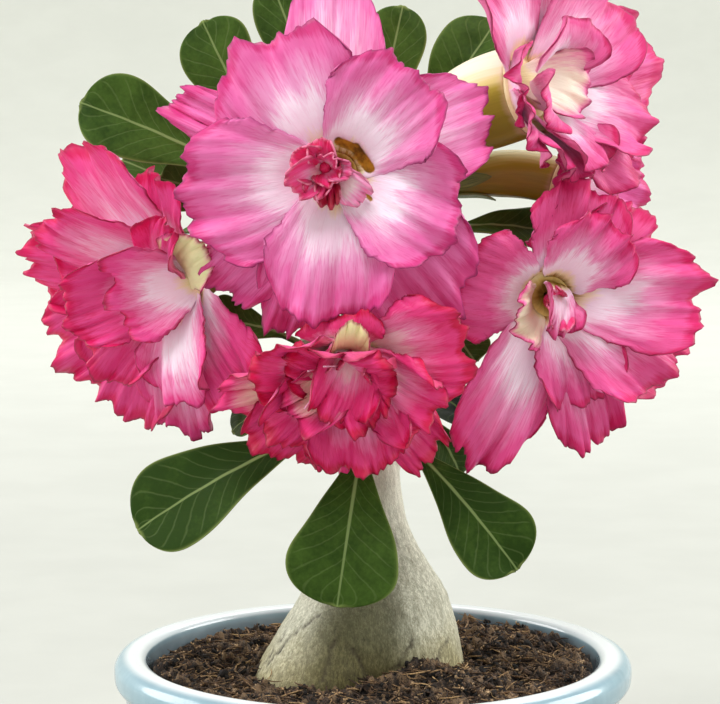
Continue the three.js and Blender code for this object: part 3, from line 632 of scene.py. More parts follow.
def bark_material():
    """Silver grey bark with fine upright flecks, olive and tan near the soil, dark cracks, and painted shade
    low on its front.
    """
    s = Surface("bark", Roughness=0.75)
    fleck = s.noise(s.place((0.95, 0.95, 0.34)), 5, 0.7)
    fine = s.noise(s.place((2.8, 2.8, 1.1)), 4, 0.7)
    patch = s.noise(s.place((0.06, 0.06, 0.045)), 3)
    worn = s.noise(s.place((0.12, 0.12, 0.09)), 4, 0.65)
    height = s.node("SeparateXYZ", s.place(), output=2)
    shade = s.plus(s.times(fleck, 0.6), fine, 0.5)
    grey = s.ramp(shade, (0.36, (128, 125, 104)), (0.5, (182, 180, 160)), (0.66, (226, 224, 206)))
    tan = s.ramp(shade, (0.36, (80, 70, 40)), (0.5, (138, 128, 84)), (0.66, (188, 178, 134)))
    green = s.ramp(shade, (0.36, (84, 92, 58)), (0.72, (142, 148, 104)))
    colour = s.mix(s.spread(s.stir(height, (patch, 26.0)), 52.0, 74.0, 1.0, 0.0), grey, tan)
    colour = s.mix(s.spread(height, 118.0, 150.0, 0.0, 0.7), colour, green)
    colour = s.mix(s.spread(worn, 0.46, 0.68, 0.0, 0.3), colour, (150, 140, 112), "MULTIPLY")
    # painted shade: darker olive grey low on the front, round the hollow between the front root legs
    colour = s.mix(s.attribute("shade_between_legs"), colour, (150, 148, 122), "MULTIPLY")
    pale = s.times(s.spread(height, 84.0, 104.0, 0.0, 0.4), s.spread(height, 122.0, 136.0, 1.0, 0.0))
    colour = s.mix(pale, colour, (250, 248, 230))
    colour = s.mix(s.times(s.attribute("crack"), 0.9), colour, (52, 40, 28))
    return s.finish(colour, s.spread(fleck, 0.2, 0.8, 0.66, 0.85), s.plus(fleck, fine, 0.6), 0.7, 0.5)


def soil_material(name, dark, middle, light):
    """Dark peat with a coarse and a fine grain."""
    s = Surface(name, Roughness=0.9)
    coarse = s.noise(s.place(0.35), 4, 0.65)
    fine = s.noise(s.place(2.4), 4, 0.7)
    tone = s.stir(s.calc("ADD", coarse, s.attribute("tone")), (fine, 0.95))
    colour = s.ramp(tone, (0.3, dark), (0.55, middle), (0.85, light))
    return s.finish(colour, s.spread(fine, 0.2, 0.8, 0.8, 1.0), fine, 0.8, 0.6)


def glaze_material():
    """Pale powder blue glaze with fine specks and a soft shine, a painted highlight on the rim's crest,
    painted shade inside and a painted shadow under the rim.
    """
    s = Surface("glaze", Roughness=0.2, Coat_Weight=0.4, Coat_Roughness=0.08)
    cloud = s.noise(s.place((0.03, 0.03, 0.05)), 4)
    speck = s.noise(s.place(1.3), 3, 0.6)
    pull = s.noise(s.place((0.18, 0.18, 0.02)), 3)
    colour = s.ramp(s.plus(s.times(pull, 0.3), cloud, 0.7),
                    (0.3, (112, 142, 156)), (0.55, (134, 164, 177)), (0.75, (154, 182, 194)))
    shaded = s.ramp(cloud, (0.3, (104, 118, 126)), (0.7, (134, 150, 158)))
    # painted highlight: the rim's crest is whitened
    colour = s.mix(s.attribute("thin"), colour, (226, 232, 235))
    # painted shade: the inside wall takes a darker, greyer copy of the glaze
    colour = s.mix(s.attribute("inner"), colour, shaded)
    # painted shadow: a brown line under the rim's lip; the same mix makes a darker ring round the foot
    colour = s.mix(s.times(s.attribute("line"), 0.7), colour, (118, 98, 78))
    colour = s.mix(s.spread(speck, 0.68, 0.76, 0.0, 0.45), colour, (112, 108, 100))
    return s.finish(colour, s.spread(cloud, 0.3, 0.7, 0.14, 0.26), s.plus(cloud, speck, 0.2), 0.12, 0.6)


# ---------- Flowers ----------


def flower_frame(flower):
    """A function that turns points from a flower's own frame, right, top and out, into the plant's."""
    out = unit(flower["facing"])
    right = unit(np.cross([0, 0, 1], out))
    axes = np.stack([right, np.cross(out, right), out])
    return lambda p: np.asarray(flower["at"]) + np.asarray(p) @ axes


def petal_surface(row, root, rows, columns, frill, seed):
    """The middle points of a petal in its flower's frame, with its place along and across it."""
    turn, reach, tip, half, tilt, cup, wave, phase, crest = row
    foot, foot_z, foot_half = root
    even = np.linspace(-1, 1, columns + 1)
    t, s = grid(np.linspace(0, 1, rows + 1), lerp(even, np.sin(even * math.pi / 2), 0.6))
    nibble = np.random.default_rng(seed + 3).uniform(-1, 1, t.shape)
    # the outline: round shoulders with a small point between them, teeth at the end and nicks in the sides
    shoulder = (1 - np.abs(s) ** 3).clip(0) ** 0.6
    margin = lerp(0.64, 1, shoulder) + 0.03 * np.exp(-((s - 0.12) ** 2) / 0.02) - 0.03
    teeth = wobble(s, seed, TEETH) + 0.005 * nibble[-1]
    l = t * margin * (1 + frill * min(1, half / 13) * teeth * t**8)
    nick = wobble(t, seed + 1, NICKS) + 0.012 * nibble[:, :1]
    y = s * lerp(foot_half, half, t**0.8 * (1.35 - 0.35 * t * t)) * (1 + frill * nick * np.abs(s) ** 6)
    # the middle line: from the foot over the crest to the tip
    m = 1 - l
    bend = lerp(foot, reach, 0.38)
    r = m * m * foot + 2 * m * l * bend + l * l * reach
    z = m * m * foot_z + 2 * m * l * crest + l * l * tip
    slope = np.arctan2(m * (crest - foot_z) + l * (tip - crest), m * (bend - foot) + l * (reach - bend))
    # the relief: a cupped and leaning blade with a ruffled margin, a crimped hem and pleats
    lean = tilt * DEGREE * np.minimum(1, 1.6 * t)
    edge = t * t * (0.3 + 0.7 * np.maximum(s * s, t**4))
    ruffle = np.sin(math.pi * 1.9 * s + phase) + 0.7 * np.sin(math.pi * 3.3 * s + 2.1 * phase + 6 * t)
    hem = 1.17 * np.maximum(t**3, t * np.abs(s) ** 3)
    crimp = frill * hem * wobble(s + 0.25 * t, seed + 2, CRIMPS)
    pleat = smooth(0.3, 0.85, t) * wobble(s + 0.1 * t, seed + 4, PLEATS)
    up = cup * half * s * s * t + y * np.sin(lean) + wave * (2.1 * edge * ruffle + crimp + pleat)
    side = y * np.cos(lean)
    radial = r - up * np.sin(slope)
    if foot > 3:
        # a foot on the throat's rim bends round with it
        bow = 0.95 * smooth(0.45, 0.05, t)
        swing = side / np.maximum(radial, foot * 0.7)
        side = lerp(side, radial * np.sin(swing), bow)
        radial = lerp(radial, radial * np.cos(swing), bow)
    across, along = math.sin(turn * DEGREE), math.cos(turn * DEGREE)
    x, y = radial * along - side * across, radial * across + side * along
    return np.stack([x, y, z + up * np.cos(slope)], -1), t, s


def paint_petal(t, s, pale, width):
    """How far a point's colour is from the petal's pale heart to its deep margin, from 0 to DEEPEST or so."""
    across = np.abs(s) * (1.35 - 0.45 * width) * smooth(0.0, 0.35, t)
    heart = np.sqrt((t / pale) ** 2.6 + across**2.2) * 0.72
    return np.minimum(heart, 1.15 + 0.08 * heart) + 0.3 * smooth(0.84, 1, t)


def pocket_share(points, pockets):
    """How far inside the olive hollows a point of the flower's frame is; each is a slot with round ends."""
    share = np.zeros(points.shape[:-1])
    for start, end, half in pockets:
        along = np.subtract(end, start)
        ahead = points[..., :2] - start
        place = np.clip(ahead @ along / (along @ along), 0, 1)
        away = np.linalg.norm(ahead - place[..., None] * along, axis=-1)
        share = np.maximum(share, smooth(half + 0.5, half - 0.5, away))
    return share


def petal_piece(name, flower, material, look):
    """The lobes of one flower in two layers, with the funnel that they grow from."""
    to_plant = flower_frame(flower)
    throat = flower["throat"]
    roots = {
        "outer": (throat - 0.9, PETAL_FOOT, throat * 0.62),
        "inner": (throat * 0.5 + 1.6, PETAL_FOOT, throat * 0.25 + 2.4),
    }
    lobes = [(layer, n, row, root) for layer, root in roots.items() for n, row in enumerate(flower[layer])]
    lobes += [("extra", n, row, (foot, -4.5, 2.6)) for n, (row, foot) in enumerate(look.get("extra", []))]
    skin = Skin()
    for layer, number, row, root in lobes:
        petal = f"{layer}{number}"
        seed = look["seed"] + 40 * number + LAYER_SEEDS[layer]
        lift = look.get("lift", {}).get(petal, 0.0)
        drop = 1.2 if layer == "outer" else 0.0
        row = [*row[:2], row[2] + lift - 2 * drop, *row[3:-1], row[-1] + 0.5 * lift - drop]
        points, t, s = petal_surface(row, root, 40, 64, look["frill"], seed)
        pocket = pocket_share(points, look.get("pockets", [])) * (layer == "inner")
        points[..., 2] -= 1.1 * pocket
        reach, spread, cream = (*look.get("petals", {}).get(petal, look.get(layer, (0.5, 0.5))), 0.0)[:3]
        inset = 0.06 if layer == "extra" else 0.03
        rim = np.maximum(smooth(1 - inset, 1, t), smooth(1 - inset / 2, 1, np.abs(s)) * smooth(0.2, 0.5, t))
        depth = lerp(0.5, 0.2, t) * (1 - 0.5 * rim)
        add_blade(skin, to_plant(points), depth, depth, blush=paint_petal(t, s, reach, spread), rim=rim,
                  cream=cream, seed=(seed * 0.37) % 19.0, pocket=pocket)
    add_funnel(skin, to_plant, throat, look.get("dark", 0.3))
    return skin.build(name, [material, THROAT])


def add_funnel(skin, to_plant, throat, dark):
    """The mouth of the tube, as one closed cup, down its inner wall and up the outer one."""
    radius, height, depth = np.array([
        (throat + 0.2, -6.1, 0), (throat + 0.3, -5.2, 0), (throat - 0.3, -4.6, 0),
        (throat * 0.78, -4.9, 0.12), (throat * 0.66, -5, 0.45), (throat * 0.5, -5, 0.75),
        (throat * 0.3, -7, 1), (throat * 0.1, -7.75, 1), (throat * 0.1, -8.1, 1),
        (throat * 0.36, -8.1, 1), (throat * 0.6, -6.5, 1), (throat * 0.76, -6.6, 1),
    ]).T
    sides = 40
    quads, corners = grid_faces(len(radius), sides, wrap=True)
    quads = quads[:, ::-1] % (len(radius) * sides)
    points = to_plant(turned(radius, height, sides))
    skin.add(points, [quads], [corners[:, ::-1]], 1, depth=np.repeat(dark * depth, sides))


def centre_piece(name, flower, extra, seed, shift, threads):
    """Curled pieces on a short column in the throat, shifted so far from its middle, and pale threads."""
    frame_of = flower_frame(flower)

    def to_plant(p):
        return frame_of(np.asarray(p) + [*shift, 0])

    skin = Skin()
    column = turned((2.3, 2.2, 1.8, 1.5, 0.9, 0.3), (-4, -3, -1.2, 0.4, 1.6, 2), 16)
    add_tube(skin, to_plant(column), blush=0.8, seed=3.0)
    curls = [(row, 0.8, 0.0) for row in flower["centre"]] + extra
    for number, (row, foot, tone) in enumerate(curls):
        points, t, s = petal_surface(row, (foot, -2.4, 1.4), 18, 24, 0.8, seed + 31 * number)
        rim = np.maximum(smooth(0.88, 1, t), smooth(0.92, 1, np.abs(s)))
        depth = lerp(0.4, 0.2, t)
        blush = tone + 0.7 * smooth(0.2, 0.95, np.maximum(t, np.abs(s))) + 0.2 * (number % 2)
        add_blade(skin, to_plant(points), depth, depth, blush=blush, rim=rim, seed=number * 2.3)
    for row in threads:
        line = bezier(row, np.linspace(0, 1, 13))
        add_tube(skin, sweep(to_plant(line), np.linspace(0.32, 0.2, 13), 8), blush=0.15, seed=1.0)
    return skin.build(name, [CURL])


def tube_line(flower):
    """The middle line of a flower's tube, from the stub on the branch to the back of the lobes."""
    end = flower_frame(flower)([0, 0, -6 - GAP])
    start = np.asarray(flower["stalk"], float)
    reach = np.linalg.norm(end - start)
    leave, arrive = unit(flower["leave"]) * reach * 0.3, unit(flower["facing"]) * reach * 0.45
    return bezier([start, start + leave, end - arrive, end], np.linspace(0, 1, 61))


def tube_piece(name, flower, seed):
    """Stalk, calyx with five sepals, and a ribbed trumpet that is hollow at its mouth."""
    line = tube_line(flower)
    span = np.concatenate([[0], np.cumsum(np.linalg.norm(np.diff(line, axis=0), axis=1))])
    share = span / span[-1]
    table = [2.2, 2.4, 4.1, *flower["tube"], flower["throat"]]
    radii = even_out(np.interp(share, np.linspace(0, 1, len(table)), table), np.ones(7))
    sides, sepals = 40, 5
    ribs = 1 + 0.025 * np.cos(sepals * circle(sides)) * smooth(0.4, 0.9, share)[:, None]
    rings = lerp(line[:, None], sweep(line, radii, sides), ribs[..., None])
    mouth = slice(-1, -13, -1)
    inside = lerp(line[mouth][:, None], rings[mouth], 0.86)
    along = np.concatenate([share, share[mouth]])[:, None]
    skin = Skin()
    # the rear tube gets only part of the painted light on its upper side
    sun = 0.55 if name == "bloom_rear_tube" else 1.0
    add_tube(skin, np.concatenate([rings, inside]), along=along, seed=(seed * 0.7) % 13, sun=sun)
    base = int(np.searchsorted(share, CALYX))
    ahead = unit(line[base + 1] - line[base])
    t, s = grid(np.linspace(0, 1, 13), np.linspace(-1, 1, 9))
    width = 1.9 * np.sin(np.pi * (0.25 + 0.75 * t)) ** 0.8 + 0.1
    depth = lerp(0.35, 0.15, t)
    for number in range(sepals):
        out = unit(rings[base, number * sides // sepals + 3] - line[base])
        side = np.cross(ahead, out)
        length = 9 + 1.5 * (number % 2)
        place = np.clip(CALYX + t * length / span[-1], 0, 1)
        middle = np.stack([np.interp(place, share, column) for column in line.T], -1)
        rise = np.interp(place, share, radii) + 0.25 + 1.4 * t**4
        points = middle + out * rise[..., None] + side * (s * width)[..., None]
        add_blade(skin, points, depth, depth, along=0.0, seed=float(number))
    return skin.build(name, [TUBE])


# ---------- Leaves ----------


def leaf_axes(row):
    """A leaf's line from foot to tip, and the ways that its right edge and its upper face look."""
    _, start, tip, face, *_ = row
    axis = np.asarray(tip, float) - start
    side = unit(np.cross(axis, face))
    return axis, side, unit(np.cross(side, axis))


def leaf_piece(name, row, seed):
    """One obovate leaf: a short stalk, a blade folded along its midrib, and a small point at its end."""
    _, start, tip, _, half, arch, fold = row
    axis, side, top = leaf_axes(row)
    t, s = grid(1 - (1 - np.linspace(0, 1, 49)) ** 1.5, np.sin(np.linspace(-1, 1, 25) * math.pi / 2))
    place = np.clip((t - 0.08) / 0.92, 0, 1)
    width = np.clip(1.5 * place**1.25 * (1 - place**6).clip(0) ** 0.55, 0.09, 1.08)
    width = width * (1 + wobble(t, seed, ((9, 0.012), (21, 0.012))) * np.sign(s))
    y = s * half * width
    notch = 0.6 * np.exp(-((y / 0.9) ** 2)) - 0.5 * np.exp(-((y / 2.6) ** 2))
    notch = 1 + notch / np.linalg.norm(axis) * smooth(0.86, 1, t)
    wave = wobble(t, seed + 1, ((7, 0.5), (13, 0.35))) * np.abs(s) ** 2
    wave += 0.25 * wobble(t + 0.1 * np.abs(s), seed + 2, ((38, 0.5),)) * (1 - np.abs(s))
    rise = 4 * (1 - t) * t * arch + np.abs(y) * math.sin(fold * DEGREE) + wave * smooth(0.2, 0.5, t)
    y_flat = y * math.cos(fold * DEGREE)
    points = start + (t * notch)[..., None] * axis + side * y_flat[..., None] + top * rise[..., None]
    blade = smooth(0.0, 0.34, t)
    stalk = 1.1 * (0.25 + 0.75 * np.sqrt((1 - s * s).clip(0)))
    flat = lerp(0.38, 0.16, smooth(0.9, 1, np.abs(s)))
    keel = np.exp(-((y / 0.8) ** 2)) * smooth(1.0, 0.3, t)
    front = lerp(stalk, flat - 0.18 * keel, blade)
    back = lerp(stalk, flat + 0.75 * keel, blade)
    rim = np.maximum(smooth(0.95, 1, np.abs(s)), smooth(0.985, 1, t)) * smooth(0.15, 0.3, t)
    skin = Skin()
    # painted shade for leaves that hang low under the blooms
    old = LOW_LEAF_SHADE.get(name, float(tip[2] < SHADE_BELOW))
    away = np.abs(y) / lerp(1.3, 0.45, t)
    add_blade(skin, points, front, back, (0, 1), side=s, along=t, away=away, rim=rim, old=old)
    return skin.build(name, LEAF)


# ---------- Trunk ----------


def branch_points(branch):
    return through(BRANCHES[branch][0], 41)


def stub_rings(branch, place, direction, radius):
    """A short stub that runs from a branch to just behind the place where a stalk starts."""
    line = branch_points(branch)
    target = np.asarray(place, float) + [0, 0, -4]
    root = line[np.argmin(np.linalg.norm(line - target, axis=1))]
    end = np.asarray(place, float) - GAP * direction
    bend = end - direction * 0.45 * np.linalg.norm(root - end)
    t = np.linspace(0, 1, 12)
    return sweep(bezier([root, bend, end], t), radius * lerp(1.25, 1, t), 12)


def leaf_direction(row):
    """The way that a leaf's arched stalk sets off."""
    axis, _, top = leaf_axes(row)
    step, arch = 0.01, row[5]
    return unit(axis * step + top * 4 * (1 - step) * step * arch)


def leg_swell(turn):
    """The share by which the root legs stand out from the trunk's foot, at an angle in degrees."""
    total = 0
    for leg, size, spread in LEGS:
        away = (turn - leg + 540) % 360 - 180
        total = total + size * np.exp(-((away / spread) ** 2))
    return total


def trunk_grain(turn, height):
    """Shallow furrows that wind round the trunk, as a factor of its radius."""
    return 1 + 0.02 * np.sin(3 * turn * DEGREE + height / 9)


def trunk_rings():
    """The swollen foot as rings, with root legs, the hollow between the front two and shallow furrows."""
    table = np.array(TRUNK, float).T
    heights = np.linspace(table[0, 0], table[0, -1], 110)
    middle, radius = (even_out(np.interp(heights, table[0], column), np.hanning(13)) for column in table[1:])
    z, a = grid(heights, np.arange(128) * 360 / 128)
    low = np.clip((84 - z) / 34, 0, 1) ** 1.5
    reach = radius[:, None] * (1 + low * leg_swell(a)) * trunk_grain(a, z)
    return np.stack([middle[:, None] + reach * np.cos(a * DEGREE), reach * np.sin(a * DEGREE), z], -1)


def trunk_mesh():
    """The mesh of the trunk, its branches and the stubs, grown together."""
    skin = Skin()
    add_tube(skin, trunk_rings())
    for branch, (_, radii) in BRANCHES.items():
        line = branch_points(branch)
        t = np.linspace(0, 1, len(line))
        knots = 1 + 0.05 * np.sin(t * 41) + 0.03 * np.sin(t * 23 + 1)
        taper = np.where(t > 0.95, 0.8, 1)
        add_tube(skin, sweep(line, lerp(radii[0], radii[1], t) * knots * taper, 24))
    for flower in FLOWERS.values():
        add_tube(skin, stub_rings(flower["branch"], flower["stalk"], unit(flower["leave"]), 2.4))
    for row in LEAVES.values():
        add_tube(skin, stub_rings(row[0], row[1], leaf_direction(row), 1.9))
    rough = skin.build("trunk_rough", [])
    join = rough.modifiers.new("join", "REMESH")
    join.mode = "VOXEL"
    join.voxel_size = 0.75 * MM
    even = rough.modifiers.new("even", "SMOOTH")
    even.factor = 0.5
    even.iterations = 4
    grown = bpy.data.meshes.new_from_object(rough.evaluated_get(bpy.context.evaluated_depsgraph_get()))
    bpy.data.objects.remove(rough)
    return grown


def crack_share(turn, z):
    """How deep in a crack of the bark a point is, by its angle in degrees and its height."""
    crack = np.zeros(len(z))
    for line in CRACKS:
        dense = along_line(line, 60)
        shaken = perlin(np.insert(dense * [0.45, 1], 2, 0, axis=1), 0.35)
        for (place, height), shift in zip(dense, shaken):
            near = ((turn - place - 4 * shift) * 0.42) ** 2 + (z - height) ** 2
            crack = np.maximum(crack, (0.8 + shift) * np.exp(-near / 0.18))
    return crack


def trunk_piece():
    """Trunk, branches and stubs as one skin, with bark relief."""
    mesh = trunk_mesh()
    mesh.name = "plant_trunk"
    points, normals = np.empty((2, len(mesh.vertices) * 3))
    mesh.vertices.foreach_get("co", points)
    mesh.vertex_normals.foreach_get("vector", normals)
    points, normals = points.reshape(-1, 3) / MM, normals.reshape(-1, 3)
    x, y, z = points.T
    turn = np.degrees(np.arctan2(y, x + 2)) % 360
    crack = crack_share(turn, z) * ((z < 84) & (np.hypot(x + 2, y) > 14))
    lump = perlin(points * [1, 1, 0.6], 0.09, 2) * 0.5 + perlin(points * [1, 1, 0.45], 0.4) * 0.22
    strength = smooth(130, 90, z) * 0.75 + 0.25
    points = points + normals * (lump * strength - 0.35 * crack)[:, None]
    mesh.vertices.foreach_set("co", (points * MM).ravel())
    paint_points(mesh, "crack", crack)
    # painted shade, low on the trunk's front between the front root legs
    paint_points(mesh, "shade_between_legs", np.exp(-(((turn - 266) / 34) ** 4)) * smooth(100, 70, z))
    return show_mesh("plant_trunk", mesh, [BARK])


# ---------- Bowl and soil ----------


def smooth_section(points, steps):
    """A section's points with rounded corners, as so many steps between each two."""
    count = (len(points) - 1) * steps + 1
    return lerp(along_line(points, count), through(points, count), 0.8)


def bowl_piece():
    """The bowl as one turned piece, a hand-thrown hair out of true, with a rolled rim and a ringed foot."""
    outside = np.concatenate([[(0, 1.2), (30, 1.2), (38, 1.2), (40, 0.0)], smooth_section(BOWL_OUTSIDE, 5)])
    inside = np.concatenate([smooth_section(BOWL_INSIDE, 6), [(30, 7), (0, 7)]])
    radius, height = np.concatenate([outside, inside]).T[..., None]
    sides = 192
    turn = circle(sides)
    true = 1 - 0.0012 + 0.0012 * np.cos(2 * turn + 0.7)
    thrown = (radius > 40) * smooth(8, 16, height) * smooth(50, 44, height)
    throwing = 0.1 * np.sin(height * 1.9 + 0.5 * np.sin(turn)) * thrown
    rings = turned(radius * true + throwing, height, sides)
    outer = np.arange(len(radius))[:, None] < len(outside)
    # painted highlight on the rim's crest
    crest_highlight = smooth(56, 57.8, height) * smooth(68.5, 65.5, radius) * smooth(49.6, 51, height)
    # the inside wall, which the glaze paints darker as painted shade
    inner = smooth(57.2, 54.5, height) * ~outer
    # a painted shadow line under the rim's lip
    shadow_under_rim = np.exp(-(((height - 49.6) / 0.7) ** 2))
    round_foot = 0.8 * np.exp(-(((height - 0.4) / 1.2) ** 2))
    line = np.maximum(shadow_under_rim, round_foot) * outer
    skin = Skin()
    add_tube(skin, rings, thin=crest_highlight * (1 - inner), inner=inner, line=line)
    return skin.build("bowl", [GLAZE])


def soil_height(x, y):
    """The height of the soil's top, with a heap before the trunk and lower ones behind and at the sides."""
    heaps = 2.4 * np.exp(-((x - 38) ** 2 + (y - 22) ** 2) / 900)
    heaps = heaps + 6.5 * np.exp(-(((x - 15) / 13) ** 2) - ((y + 24) / 10) ** 2)
    heaps = heaps + 2.4 * np.exp(-(((np.abs(x + 1) - 54) / 7) ** 2) - ((y + 6) / 12) ** 2)
    waves = np.sin(0.31 * x + 1.3) * np.sin(0.37 * y) + 0.6 * np.sin(0.83 * x - 0.57 * y)
    return SOIL_LEVEL + heaps + 1.1 * waves


def outside_trunk(x, y):
    """How far a point of the soil's top is from the trunk, in mm."""
    turn = np.degrees(np.arctan2(y, x + 3)) % 360
    return np.hypot(x + 3, y) - 27.5 * (1 + 0.97 * leg_swell(turn)) * trunk_grain(turn, 51)


def lumpy_ball(rng, points, size):
    """A crumb: a ball's points pushed in and out, stretched and turned at random."""
    stretch = size * rng.uniform(0.55, 1.25, 3)
    turned_points = points * (1 + rng.uniform(-0.4, 0.4, (len(points), 1))) * stretch
    for axis, angle in enumerate(rng.uniform(0, 2 * math.pi, 3)):
        one, other = (axis + 1) % 3, (axis + 2) % 3
        u, v = turned_points[:, [one, other]].T
        turned_points[:, one] = u * math.cos(angle) - v * math.sin(angle)
        turned_points[:, other] = u * math.sin(angle) + v * math.cos(angle)
    return turned_points


def ball(subdivisions):
    """Points and faces of a ball of triangles with a radius of 1."""
    work = bmesh.new()
    bmesh.ops.create_icosphere(work, subdivisions=subdivisions, radius=1)
    points = np.array([v.co[:] for v in work.verts])
    faces = np.array([[v.index for v in f.verts] for f in work.faces])
    work.free()
    return points, faces


def scatter(rng, count, reach=58.6):
    """Places on the soil's top, clear of the trunk."""
    places = []
    while len(places) < count:
        x, y = rng.uniform(-reach, reach, 2)
        if np.hypot(x, y) < reach and outside_trunk(x, y) > 0.3:
            places.append((x, y))
    return places


def soil_ground():
    """The soil as one body with a broken top, darker in its hollows and lighter on its bumps as painted shade
    and light.
    """
    sides = 420
    radius = np.concatenate([np.linspace(SOIL_RADIUS, 1.2, 130), [0.4]])
    flat = turned(radius, 0 * radius, sides)
    x, y, _ = flat.transpose(2, 0, 1)
    broken = perlin(flat, 0.16, 2) * 2.2 + perlin(flat + 40, 0.55, 4) * 2.2
    top = flat.copy()
    top[..., 2] = soil_height(x, y) + broken * smooth(60.5, 57, radius)[:, None]
    wall = turned((40.2, 47.5, 54.4, 58.9, 59.7), (7.6, 12.4, 23.6, 38.6, 47), sides)
    # painted shade and light: the top is darker in its hollows and lighter on its bumps
    tone = np.concatenate([np.zeros((len(wall), sides)), np.clip(0.14 * broken, -0.3, 0.3)])
    skin = Skin()
    add_tube(skin, np.concatenate([wall, top]), tone=tone)
    return skin.build("soil_ground", [SOIL[0]])


def soil_crumbs(rng):
    """Crumbs of three sizes that lie on the soil."""
    skin = Skin()
    for subdivisions, count, low, high in ((2, 150, 0.8, 1.5), (1, 2200, 0.4, 1.0), (1, 6500, 0.15, 0.5)):
        points, faces = ball(subdivisions)
        for x, y in scatter(rng, count):
            size = rng.uniform(low, high) * (1 if np.hypot(x, y) < 56 else 0.6)
            level = soil_height(x, y) + rng.uniform(-0.2, 0.7) * size + 0.3
            crumb = lumpy_ball(rng, points, size) + [x, y, level]
            tone = rng.uniform(-0.3, 0.28) - 0.16 * size
            skin.add(crumb, [faces], [np.zeros((len(faces), 3, 2))], tone=tone)
    return skin.build("soil_crumbs", [SOIL[1]])


def soil_fibres(rng):
    """Short curly fibres that lie on the soil or stand up from it."""
    skin = Skin()
    for x, y in scatter(rng, 1900, 56.5):
        heading = rng.uniform(0, 2 * math.pi)
        length = rng.uniform(1.5, 4.5) if rng.uniform() < 0.7 else rng.uniform(4, 10)
        lift = rng.uniform(-0.3, 0.9) * (1 if rng.uniform() < 0.7 else 4)
        ahead = np.array([math.cos(heading), math.sin(heading), 0.12 * lift]) * length
        start = np.array([x, y, soil_height(x, y) + 0.8])
        middle = start + ahead * 0.5 + rng.uniform(-2, 2, 3) * [1, 1, 0.6]
        end = start + ahead + rng.uniform(-1, 1, 3)
        for p in (middle, end):
            p[:2] *= min(1, 57.5 / np.hypot(p[0], p[1]))
        line = bezier([start, middle, end], np.linspace(0, 1, 8))
        radii = rng.uniform(0.09, 0.26) * np.array([0.5, 0.9, 1, 1, 1, 0.9, 0.7, 0.3])
        add_tube(skin, sweep(line, radii, 5), tone=rng.uniform(-0.35, 0.25))
    return skin.build("soil_fibres", [SOIL[2]])


# ---------- Camera, floor and light ----------


def add_camera():
    """The photograph's view: a little above the rim, from a step away."""
    focal, width, sensor = 2731, 720, 36
    tilt, yaw = 6.752 * DEGREE, -0.2727 * DEGREE
    camera = bpy.data.cameras.new("camera")
    camera.sensor_width = sensor
    camera.lens = focal * sensor / width
    camera.clip_start, camera.clip_end = 0.05, 30
    obj = show("camera", camera)
    obj.location = (0, -727.85 * MM, 226.04 * MM)
    aim(obj, (math.sin(yaw) * math.cos(tilt), math.cos(yaw) * math.cos(tilt), -math.sin(tilt)))
    bpy.context.scene.camera = obj


def add_floor():
    """A wide pale floor that the bowl stands on, which sweeps up far behind it all round; in metres."""
    sides = 96
    bend = np.linspace(0.1, 1, 12) * math.pi / 2
    radius = np.concatenate([[0.02, 1.0, 1.8], 1.8 + 1.4 * np.sin(bend)])
    height = np.concatenate([[0, 0, 0], 1.4 - 1.4 * np.cos(bend)])
    points = turned(radius, height, sides).reshape(-1, 3)
    quads, _ = grid_faces(len(radius) - 1, sides, wrap=True)
    mesh = bpy.data.meshes.new("floor")
    mesh.from_pydata(points.tolist(), [], [*quads.tolist(), list(range(sides))])
    s = Surface("floor", Roughness=0.7)
    grain = s.noise(s.place(0.02), 4)
    near = s.ramp(grain, (0.3, (176, 177, 171)), (0.7, (180, 181, 175)))
    far = s.ramp(grain, (0.3, (238, 239, 233)), (0.7, (241, 242, 236)))
    away = s.node("VectorMath", s.place(), operation="LENGTH", output=1)
    show_mesh("floor", mesh, [s.finish(s.mix(s.spread(away, 300.0, 2000.0), near, far))])


def add_light(name, place, size, power):
    """A round soft lamp that looks at the plant's middle; in metres and watts."""
    light = bpy.data.lights.new(name, "AREA")
    light.shape = "DISK"
    light.size = size
    light.energy = power
    obj = show(name, light)
    obj.location = place
    aim(obj, Vector((0, 0, 0.15)) - Vector(place))


def add_studio():
    """Soft light from above the left shoulder, and from both sides a little behind for the edges."""
    add_light("key", (-0.4, -0.85, 1.9), 1.1, 27)
    add_light("right", (1.4, 0.35, 0.7), 1.0, 18)
    add_light("left", (-1.4, 0.4, 0.7), 1.0, 15)
    add_light("behind", (0.2, 1.3, 1.4), 1.0, 8)
    world = bpy.data.worlds.new("studio")
    world.use_nodes = True
    back = world.node_tree.nodes["Background"]
    back.inputs["Color"].default_value = srgb(236, 238, 230)
    back.inputs["Strength"].default_value = 0.75
    bpy.context.scene.world = world
    bpy.context.scene.view_settings.view_transform = "Standard"


# ---------- Looks ----------

CREAM = (246, 226, 186)
CREAMY = (236, 232, 172)
OLIVE = (160, 120, 36)
WHITE = (250, 226, 245)
YELLOW = (226, 204, 146)

